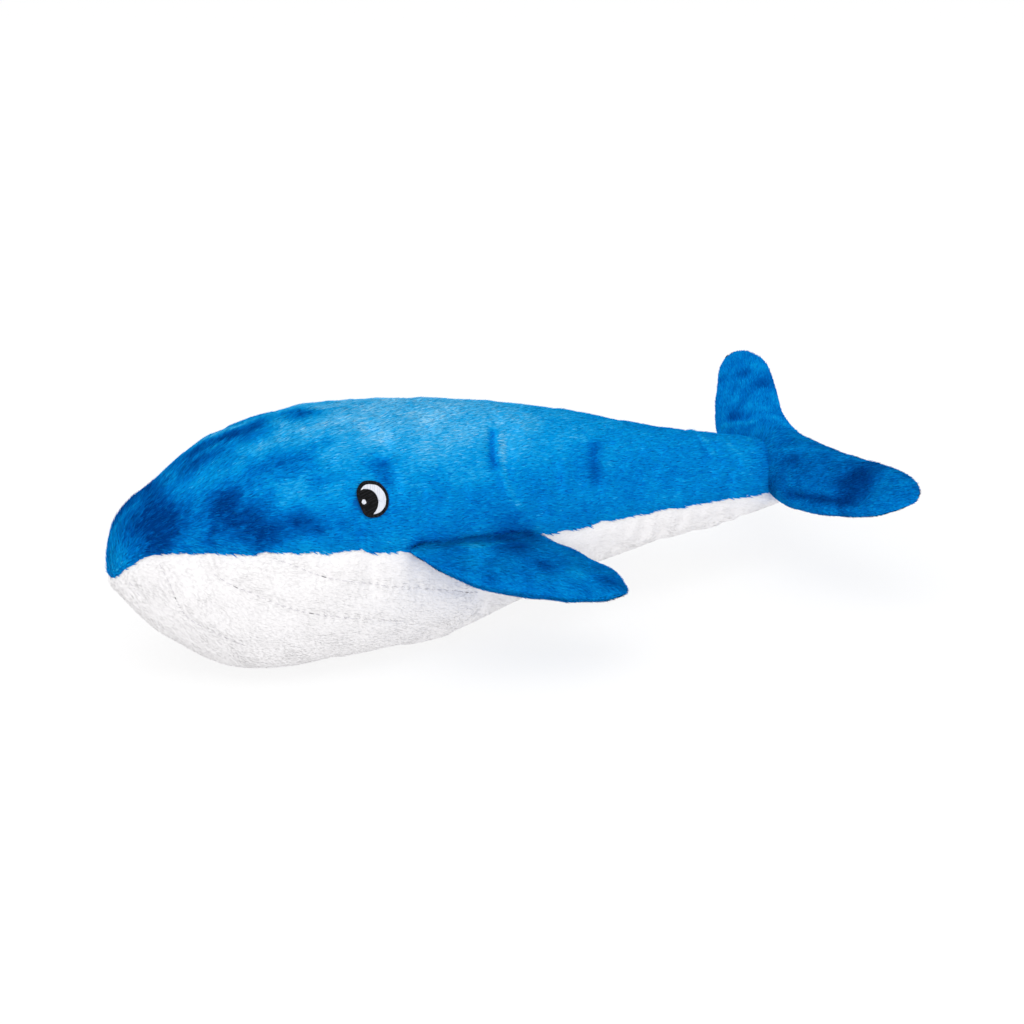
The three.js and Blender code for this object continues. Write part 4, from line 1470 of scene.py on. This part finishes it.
@dataclass(frozen=True)
class Eye:
    """An embroidered eye: satin stitches in black and white, over the shapes that they have from the side."""

    behind_nose: float = 133.8 * MM
    above_floor: float = 107 * MM
    length: float = 18.5 * MM
    height: float = 17.9 * MM
    outline_width: float = 1.35 * MM
    outline: tuple = (
        (-0.93, 0.58), (-0.52, 0.95), (0.02, 0.96), (0.58, 0.73), (0.92, 0.14), (0.8, -0.52), (0.32, -0.93),
        (-0.3, -0.98), (-0.74, -0.72), (-0.96, 0.0),
    )
    pupil_centre: tuple = (-5.6 * MM, -1.5 * MM)
    pupil_size: tuple = (7.9 * MM, 6.9 * MM)
    pupil_lean: float = 0.14
    glint_centre: tuple = (-6.0 * MM, -0.6 * MM)
    glint_radius: float = 1.2 * MM
    thread: float = 0.5 * MM
    pitch: float = 0.34 * MM
    stitch: float = 5.5 * MM  # about how long a stitch is
    painted_light_share: float = 0.35  # share of the threads in the second copy of their thread: painted highlight on black, painted shade on white
    slants: tuple = (1.25, 0.25, 1.0)  # which way the threads of the white, the pupil and the glint run
    uneven: float = 0.2  # how far a stitch's end is off its place, as a share of its length
    outline_stitches: int = 170
    spill: tuple = (0.1 * MM, 0.15 * MM)  # how far the outline's stitches pass its two edges

    def rim(self, inset: float, count: int) -> np.ndarray:
        """Gives the outline in the side view.

        Args:
            inset: How far it is drawn in.
            count: How many points.

        Returns:
            For each point, how far it is behind and above the middle.
        """
        half = np.array([self.length / 2 - inset, self.height / 2 - inset])
        spots = np.array(self.outline) * half
        steps = len(spots)
        place = np.linspace(0, steps, count, endpoint=False)
        i, p = place.astype(int), (place % 1)[:, None]
        a, b, c, d = (spots[(i + k) % steps] for k in (-1, 0, 1, 2))
        return 0.5 * (2 * b + (c - a) * p + (2 * a - 5 * b + 4 * c - d) * p**2
                      + (3 * b - a - 3 * c + d) * p**3)

    def rows_inside(self, inside: Callable[[np.ndarray], np.ndarray], slant: float,
                    seed: int) -> list[tuple[np.ndarray, np.ndarray]]:
        """Fills an area with side-by-side threads.

        Args:
            inside: Tells for places whether they are in the area.
            slant: The threads' direction in the side view.
            seed: Which uneven ends.

        Returns:
            Both ends of each thread, in the side view.
        """
        random = np.random.default_rng(seed)
        way = np.array([math.cos(slant), math.sin(slant)])
        across = np.array([-way[1], way[0]])
        reach = np.arange(-self.length, self.length, 0.08 * MM)
        threads = []
        for row in np.arange(-self.length, self.length, self.pitch):
            spots = row * across + reach[:, None] * way
            found = np.flatnonzero(inside(spots))
            for part in np.split(found, np.flatnonzero(np.diff(found) > 1) + 1):
                if len(part) < 3:
                    continue
                first, last = spots[part[0]], spots[part[-1]]
                pieces = max(1, round(np.linalg.norm(last - first) / self.stitch))
                cuts = np.linspace(0, 1, pieces + 1)
                cuts[1:-1] += random.uniform(-self.uneven, self.uneven, pieces - 1) / pieces
                threads += [(first + (last - first) * a, first + (last - first) * b)
                            for a, b in zip(cuts[:-1], cuts[1:])]
        return threads

    def build(self, side: Side, shape: BodyShape, finishes: Finishes) -> None:
        """Embroiders the eye.

        Args:
            side: The whale's side.
            shape: The body that it is sewn on.
            finishes: The whale's materials.
        """
        inner = self.rim(self.outline_width, 120)
        glint = np.array(self.glint_centre)

        def in_rim(spots: np.ndarray) -> np.ndarray:
            """Tells whether places are within the outline.

            Args:
                spots: The places.

            Returns:
                An answer for each.
            """
            ends = np.roll(inner, -1, axis=0)
            up = (inner[None, :, 1] > spots[:, None, 1]) != (ends[None, :, 1] > spots[:, None, 1])
            rise = np.where(ends[:, 1] == inner[:, 1], 1e-12, ends[:, 1] - inner[:, 1])
            slope = (ends[:, 0] - inner[:, 0]) / rise
            cut = inner[None, :, 0] + (spots[:, None, 1] - inner[None, :, 1]) * slope
            return ((up & (spots[:, None, 0] < cut)).sum(1) % 2).astype(bool)

        def in_pupil(spots: np.ndarray) -> np.ndarray:
            """Tells whether places are within the pupil, an ellipse that leans back.

            Args:
                spots: The places.

            Returns:
                An answer for each.
            """
            away = spots - np.array(self.pupil_centre)
            away[:, 0] -= self.pupil_lean * away[:, 1]
            return ((away / np.array(self.pupil_size)) ** 2).sum(-1) < 1

        in_glint = lambda spots: ((spots - glint) ** 2).sum(-1) < self.glint_radius**2
        outer, inward = (self.rim(inset, self.outline_stitches)
                         for inset in (-self.spill[0], self.outline_width + self.spill[1]))
        fill, (white, pupil, bright) = self.rows_inside, self.slants
        layers = (  # each part's threads, how far they lie off the plush, and their slot
            ("outline", list(zip(outer, inward)), 0.85 * MM, "black_thread"),
            ("white", fill(lambda p: in_rim(p) & ~in_pupil(p), white, 1), 0.7 * MM, "white_thread"),
            ("pupil", fill(lambda p: in_rim(p) & in_pupil(p) & ~in_glint(p), pupil, 2), 0.85 * MM,
             "black_thread"),
            ("glint", fill(in_glint, bright, 3), 1.1 * MM, "white_thread"),
        )
        threads_of = {"black_thread": (finishes.black_thread, finishes.soft_black),
                      "white_thread": (finishes.white_thread, finishes.soft_white)}
        for part, threads, lift, slot in layers:
            ends = np.array([[shape.on_side(self.behind_nose + x, self.above_floor + z, side.value, lift)
                              for x, z in thread] for thread in threads])
            along = ends[:, 1] - ends[:, 0]
            up = np.broadcast_to(np.array([0.0, side.value, 0.35]), along.shape)  # about off the cloth
            axes = strand_axes(along, up, self.thread, 0.3)
            strand = bmesh.new()
            bmesh.ops.create_uvsphere(strand, u_segments=8, v_segments=7, radius=1)
            for vertex in strand.verts:  # a strand is a rod with round ends
                wider = min(1.6, 1 / math.sqrt(1.05 - vertex.co.z**2))
                vertex.co.xy *= 1.0 if abs(vertex.co.z) > 0.99 else wider
            name = f"eye_{side.word}_{part}"
            kinds = np.random.default_rng(4).random(len(threads)) < self.painted_light_share
            place_on(strewn(f"{name}_thread", strand, axes, ends.mean(1), threads_of[slot], kinds),
                     "body", [name])


class Face(Enum):
    """A limb's two panels, by the way in which they face."""

    UPPER = 1
    LOWER = -1

    @property
    def word(self) -> str:
        """Gives the panel's name."""
        return self.name.lower()


@dataclass
class Limb:
    """A fin or the fluke: an upper and a lower panel, sewn along their edge. It has its body's name."""

    name: str
    shape: LimbShape
    finishes: Finishes
    blend: Sequence[Place]
    rows: int
    columns: int
    pile: Pile
    coarse: tuple  # rows and columns for the cloth
    # painted shade and painted highlights where the pile is brushed: place, reach and strength
    brushed_painted_light: tuple
    folds: tuple
    side: Side = Side.LEFT
    seed: int = 70
    wall: float = 2 * MM
    under_pile: float = 1.9 * MM  # from the pile's surface to the cloth
    rim: float = 1.7 * MM  # from the pile's outline to the cloth's
    root_lift: float = 0.0  # how far its root is drawn up into the body's seam
    root_sink: float = 0.0  # how far its root is drawn in
    corner_sink: float = 0.0  # how much further the root's two corners are, as the body curves away there
    root_reach: float = 0.28  # share of the limb over which that fades
    held_middle: float = 30 * MM  # how far from the fluke's middle the cloth is held
    edge_hold: float = 0.85  # how firmly it is held at the edge
    lumps: float = 0.5 * MM
    lump_size: float = 24 * MM
    mottling: tuple = ((0.2, 16 * MM), (0.08, 7 * MM))  # how strong and how large, broad and fine
    depth: float = 0.3  # how much deeper its colour is than the body's
    tone: float = 4.75
    root_stand: float = 0.35  # how much steeper the pile stands at the root, in radians
    root_stand_reach: float = 0.2  # share of the limb over which that fades
    tip_trim: float = 0.6  # how much shorter the pile is at a tip
    edge_trims: tuple = (0.2, 0.6)  # how much shorter it is at the edge, on the upper and the lower panel
    trim_reach: float = 0.12  # share of the limb over which those fade
    rim_lean: float = 0.8  # how far out the directions away from the middle lean towards the edge
    tip_lean: float = 1.2  # and at a tip
    comb: tuple = (0.8, 0.55)  # how far the pile is combed outwards, and how far back
    parting: float = 12 * MM  # from the fluke's middle to where the pile is combed outwards in full
    edge_thread_lift: float = -1.4 * MM
    fill: float = 0.7  # how full it is stuffed

    def points(self, s: np.ndarray, t: np.ndarray, face: int) -> np.ndarray:
        """Gives points of the upper (1) or lower (-1) panel, t from the front edge to the rear."""
        return self.drawn(self.shape.point(s, face * math.pi * t, self.under_pile, self.rim), s)

    def drawn(self, points: np.ndarray, s: np.ndarray) -> np.ndarray:
        """Draws points into the body's seam.

        Args:
            points: The points.
            s: For each, its share along the limb.

        Returns:
            The points.
        """
        back, out, _ = self.shape.axes()
        corner = (2 * (points - np.array(self.shape.origin)) @ back / self.shape.chord - 1) ** 2
        sink = (self.root_sink + self.corner_sink * corner)[..., None] * out
        return points + (np.array((0, 0, self.root_lift)) - sink) * bell(s, self.root_reach)[..., None]

    def inside(self, s: np.ndarray, turn: np.ndarray, inset: float) -> np.ndarray:
        """Gives points for the filling, drawn as the panels are at the same place.

        Args:
            s: Shares along the limb.
            turn: Angles round the section.
            inset: How far under the surface.

        Returns:
            The points.
        """
        points = self.shape.point(s, turn, inset)
        reach = self.shape.out_of_root(points) / self.shape.reach
        return self.drawn(points, np.arccos(np.clip(1 - 2 * reach, -1, 1)) / math.pi)

    def grid(self, rows: int, columns: int) -> tuple[np.ndarray, np.ndarray]:
        """Gives shares along the limb at about equal distances, and across it closer at its edges.

        Args:
            rows: How many along it.
            columns: How many across it.

        Returns:
            The shares along the limb, in a column, and across it, in a row.
        """
        fine, even = np.linspace(0, 1, 800), np.linspace(0, 1, columns)
        run = run_along(self.shape.point(fine, np.full_like(fine, math.pi / 2)))
        s = np.interp(np.linspace(0, run[-1], rows), run, fine)
        return s[:, None], (0.5 * even + 0.5 * (1 - np.cos(math.pi * even)) / 2)[None]

    def ways(self, points: np.ndarray) -> np.ndarray:
        """Gives the way in which the pile is combed: outwards and back.

        Args:
            points: The points.

        Returns:
            A direction for each.
        """
        back, out, _ = self.shape.axes()
        reach = self.shape.out_of_root(points)
        sign = np.tanh(reach / self.parting) if self.shape.centred else np.ones_like(reach)
        return unit(sign[..., None] * out * self.comb[0] + back * self.comb[1])

    def outward(self, points: np.ndarray, face: int) -> np.ndarray:
        """Gives directions away from the limb's middle.

        Args:
            points: A panel's points.
            face: 1 on the upper panel, -1 on the lower.

        Returns:
            A direction for each.
        """
        middle = (points[:, :1] + points[:, -1:]) / 2
        _, out, up = self.shape.axes()
        span = self.shape.reach / (2 if self.shape.centred else 1)
        tip = np.clip(self.shape.out_of_root(points) / span, -1, 1)[..., None] ** 15
        return unit(up * face + self.rim_lean * unit(points - middle + 1e-9) + self.tip_lean * tip * out)

    def swollen(self) -> list[np.ndarray]:
        """Runs the cloth for the upper and the lower panel.

        Returns:
            For each panel, how far each coarse point moved.
        """
        s, t = self.grid(*self.coarse)
        grids = [self.points(s, t, face.value) for face in Face]
        held = []
        for grid in grids:
            hold = np.zeros(grid.shape[:2])
            hold[:, 0] = hold[:, -1] = self.edge_hold
            if self.shape.centred:
                hold[np.abs(self.shape.out_of_root(grid)) < self.held_middle] = 1
            else:
                hold[:2] = 1
            held.append(hold)
        return Puff().swell(grids, held, [self.outward(grid, face.value) for grid, face in zip(grids, Face)])

    def shaped(self, s: np.ndarray, t: np.ndarray, face: Face, moved: np.ndarray) -> Sheet:
        """Puts the cloth's swelling and its folds on a panel, with painted shade and highlights in the folds
        and brushed patches.

        Args:
            s: Shares along the limb.
            t: Shares across it.
            face: Which panel.
            moved: How far the cloth simulation moved each coarse point.

        Returns:
            The panel.
        """
        points = self.points(s, t, face.value)
        calm = np.sin(math.pi * t) ** 0.5 * np.clip(np.sin(math.pi * s) * 4, 0, 1)
        step = self.lumps * waves(points, self.lump_size, self.seed) * calm
        mottling_and_light = sum(strength * waves(points, size, self.seed + 2 + k)
                  for k, (strength, size) in enumerate(self.mottling)) - self.depth
        # painted shade of brushed patches; a negative strength is a painted highlight
        for spot, reach, strength in self.brushed_painted_light:
            mottling_and_light = mottling_and_light - strength * bell(lengths(points - np.array(spot) * (1, -self.side.value, 1)), reach)
        # painted shade in each fold's crease, and a painted highlight on each ridge
        for fold in self.folds:
            pressed = fold.press(points, self.side.value)
            step = step - fold.depth * pressed
            mottling_and_light = mottling_and_light - fold.painted_shade * pressed
        moved = spread(moved, np.linspace(0, 1, self.rows), np.linspace(0, 1, self.columns)) * calm[..., None]
        whole = points + moved + self.outward(points, face.value) * step[..., None]
        ends = np.minimum(s, 1 - s) if self.shape.centred else 1 - s
        root = 0 * s if self.shape.centred else bell(s, self.root_stand_reach)
        edge = bell(np.minimum(t, 1 - t), self.trim_reach) * self.edge_trims[face is Face.LOWER]
        tip = self.tip_trim * bell(ends, self.trim_reach)
        return Sheet(whole, mottling_and_light, self.root_stand * root, (1 - tip) * (1 - edge))

    def build(self) -> None:
        """Builds both panels, their pile and their thread."""
        s, t = self.grid(self.rows, self.columns)
        for face, moved in zip(Face, self.swollen()):
            name, sheet = f"{self.name}_{face.word}", self.shaped(s, t, face, moved)
            points = self.points(s, t, face.value)
            outward = self.outward(points, face.value)
            half = lengths(points - self.points(s, t, -face.value)) / 2
            panel = sheet.mesh(f"{name}_plush", outward, self.wall, half, self.finishes.blue)
            place_on(panel, self.name, [f"{name}_panel"], self.blend)
            coat = self.pile.grow(f"{name}_pile", sheet, outward, self.ways(sheet.points), 20 + face.value,
                                  self.finishes.blue_pile, self.tone)
            place_on(coat, self.name, (), self.blend)
            if face is Face.UPPER:
                sewn = slice(self.rows // 12, -(self.rows // 12))  # no thread shows at the ends
                paths = [sheet.points[sewn, 0], sheet.points[sewn, -1]]
                away = [unit(path - sheet.points.mean(1)[sewn]) for path in paths]
        stitches = Stitches(lift=self.edge_thread_lift).sew(
            f"{self.name}_edge_stitches", paths, away, self.finishes.blue_thread)
        place_on(stitches, self.name, (), self.blend)


@dataclass(frozen=True)
class Filling:
    """Loose fibre inside a sewn form."""

    inset: float = 5.5 * MM
    rows: int = 28
    columns: int = 24
    lumps: float = 0.6 * MM
    lump_size: float = 18 * MM

    def build(self, name: str, place: Callable[[np.ndarray, np.ndarray], np.ndarray], body: str, node: str,
              finishes: Finishes, blend: Sequence[Place] | None = None) -> None:
        """Makes the filling.

        Args:
            name: The piece's name.
            place: Gives the point at a share along the form and an angle round it.
            body: The body that it rides on.
            node: The solid that it replaces.
            finishes: The whale's materials.
            blend: Where it bends, if it does.
        """
        shell = bmesh.new()
        bmesh.ops.create_uvsphere(shell, u_segments=self.columns, v_segments=self.rows, radius=1)
        spots = np.array([v.co for v in shell.verts])
        points = place(np.arccos(np.clip(spots[:, 2], -1, 1)) / math.pi, np.arctan2(spots[:, 1], spots[:, 0]))
        points += self.lumps * waves(points, self.lump_size, 3)[:, None]
        for vertex, point in zip(shell.verts, points):
            vertex.co = point
        bmesh.ops.recalc_face_normals(shell, faces=shell.faces)
        data = new_mesh(name, shell)
        data.materials.append(finishes.filling)
        smooth(data)
        place_on(new_object(name, data), body, [node], blend)


@dataclass(frozen=True)
class Stage:
    """A white sweep, soft light from all round, and the camera at the photograph's angle."""

    target: Place = (0.11207, 0.0, 0.06297)
    azimuth: float = -25
    elevation: float = 21
    distance: float = 1.65
    lens: float = 100
    floor_size: float = 12
    paper_glow: float = 0.7  # share of the paper's light that comes from below

    def build(self) -> None:
        """Makes the floor, the lamps, the world and the camera."""
        self.floor()
        self.world()
        self.lamp("key", (-0.5, -0.9, 2.1), 1.4, 8)
        self.lamp("fill", (-0.7, -2.0, 0.4), 1.4, 8.5)
        self.camera()

    def floor(self) -> None:
        """Makes the floor: white paper lit from below too, which looks white where no shadow lies."""
        material, tree = new_material("white paper sweep")
        paper = add(tree, "ShaderNodeBsdfDiffuse", Color=linear("#f8f8f8"), Roughness=1.0)
        glow = add(tree, "ShaderNodeEmission", Color=(1, 1, 1, 1), Strength=1.0)
        both = add(tree, "ShaderNodeMixShader", _0=self.paper_glow, _1=paper.outputs["BSDF"],
                   _2=glow.outputs["Emission"])
        add(tree, "ShaderNodeOutputMaterial", Surface=both.outputs["Shader"])
        shell = bmesh.new()
        bmesh.ops.create_grid(shell, x_segments=1, y_segments=1, size=self.floor_size / 2)
        floor = new_object("floor", new_mesh("floor", shell))
        floor.data.materials.append(material)

    def world(self) -> None:
        """Makes the world: even studio light, which the camera and any gloss see as white."""
        world = bpy.data.worlds.new("studio")
        world.use_nodes = True
        tree = world.node_tree
        tree.nodes.clear()
        light = add(tree, "ShaderNodeBackground", Color=(1, 1, 1, 1), Strength=1.0)
        add(tree, "ShaderNodeOutputWorld", Surface=light.outputs["Background"])
        bpy.context.scene.world = world

    def lamp(self, name: str, place: Place, size: float, power: float) -> None:
        """Hangs a square soft box that faces the whale.

        Args:
            name: The lamp's name.
            place: Where it hangs.
            size: Its width.
            power: Its power, in watts.
        """
        light = bpy.data.lights.new(name, "AREA")
        light.shape, light.size, light.energy = "SQUARE", size, power
        lamp = new_object(name, light)
        lamp.location = place
        lamp.rotation_euler = (Vector(self.target) - Vector(place)).to_track_quat("-Z", "Y").to_euler()

    def camera(self) -> None:
        """Places the camera."""
        around, up = math.radians(self.azimuth), math.radians(self.elevation)
        back = Vector((math.sin(around) * math.cos(up), -math.cos(around) * math.cos(up), math.sin(up)))
        lens = bpy.data.cameras.new("camera")
        lens.lens, lens.sensor_width, lens.clip_start, lens.clip_end = self.lens, 36, 0.05, 50
        camera = new_object("camera", lens)
        camera.location = Vector(self.target) + back * self.distance
        camera.rotation_euler = (-back).to_track_quat("-Z", "Y").to_euler()
        bpy.context.scene.camera = camera


def build_fin(side: Side, finishes: Finishes) -> None:
    """Builds the fin on one side, with its filling. It bends from 1 mm to 15 mm out of its root.

    Args:
        side: The whale's side.
        finishes: The whale's materials.
    """
    name, shape = f"fin_{side.word}", fin_shape(side.value)
    back, out, _ = shape.axes()
    bend = [tuple(shape.origin + back * shape.chord / 2 + out * reach) for reach in (1 * MM, 15 * MM)]
    limb = Limb(name, shape, finishes, bend, 70, 48, Pile(14000), (14, 13), FIN_BRUSHED_PAINTED_LIGHT, FIN_FOLDS, side,
                seed=80, root_lift=6 * MM, root_sink=3.3 * MM, corner_sink=2.8 * MM)
    limb.build()
    Filling().build(f"{name}_filling", lambda a, w: limb.inside(a, w, Filling.inset), name,
                    f"{name}_stuffing", finishes, bend)


def build_fluke(finishes: Finishes) -> None:
    """Builds the fluke, with a filling in each lobe. It bends just behind its seam.

    Args:
        finishes: The whale's materials.
    """
    shape, bend = fluke_shape(), ((0.276, 0, 0.064), (0.296, 0, 0.074))
    Limb("fluke", shape, finishes, bend, 150, 44, Pile(26000), (36, 11), FLUKE_BRUSHED_PAINTED_SHADE, FLUKE_FOLDS).build()
    for side, low, high in ((Side.LEFT, 0.04, 0.36), (Side.RIGHT, 0.64, 0.96)):
        Filling().build(f"fluke_{side.word}_filling",
                        lambda a, w: shape.point(low + (high - low) * a, w, Filling.inset * 0.9),
                        "fluke", f"fluke_{side.word}_stuffing", finishes, bend)


def main() -> None:
    """Builds the whale and its stage."""
    logging.basicConfig(level=logging.INFO, format="%(message)s")
    bpy.context.scene.view_settings.view_transform = "Standard"
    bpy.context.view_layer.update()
    finishes = Finishes.make()
    body = Body(finishes)
    body.build()
    for side in Side:
        Eye().build(side, body.shape, finishes)
    Filling(rows=40).build("body_filling", lambda a, w: body.shape.point(a, w, Filling.inset), "body",
                           "body_stuffing", finishes)
    for side in Side:
        build_fin(side, finishes)
    build_fluke(finishes)
    Stage().build()


if __name__ == "__main__":
    main()
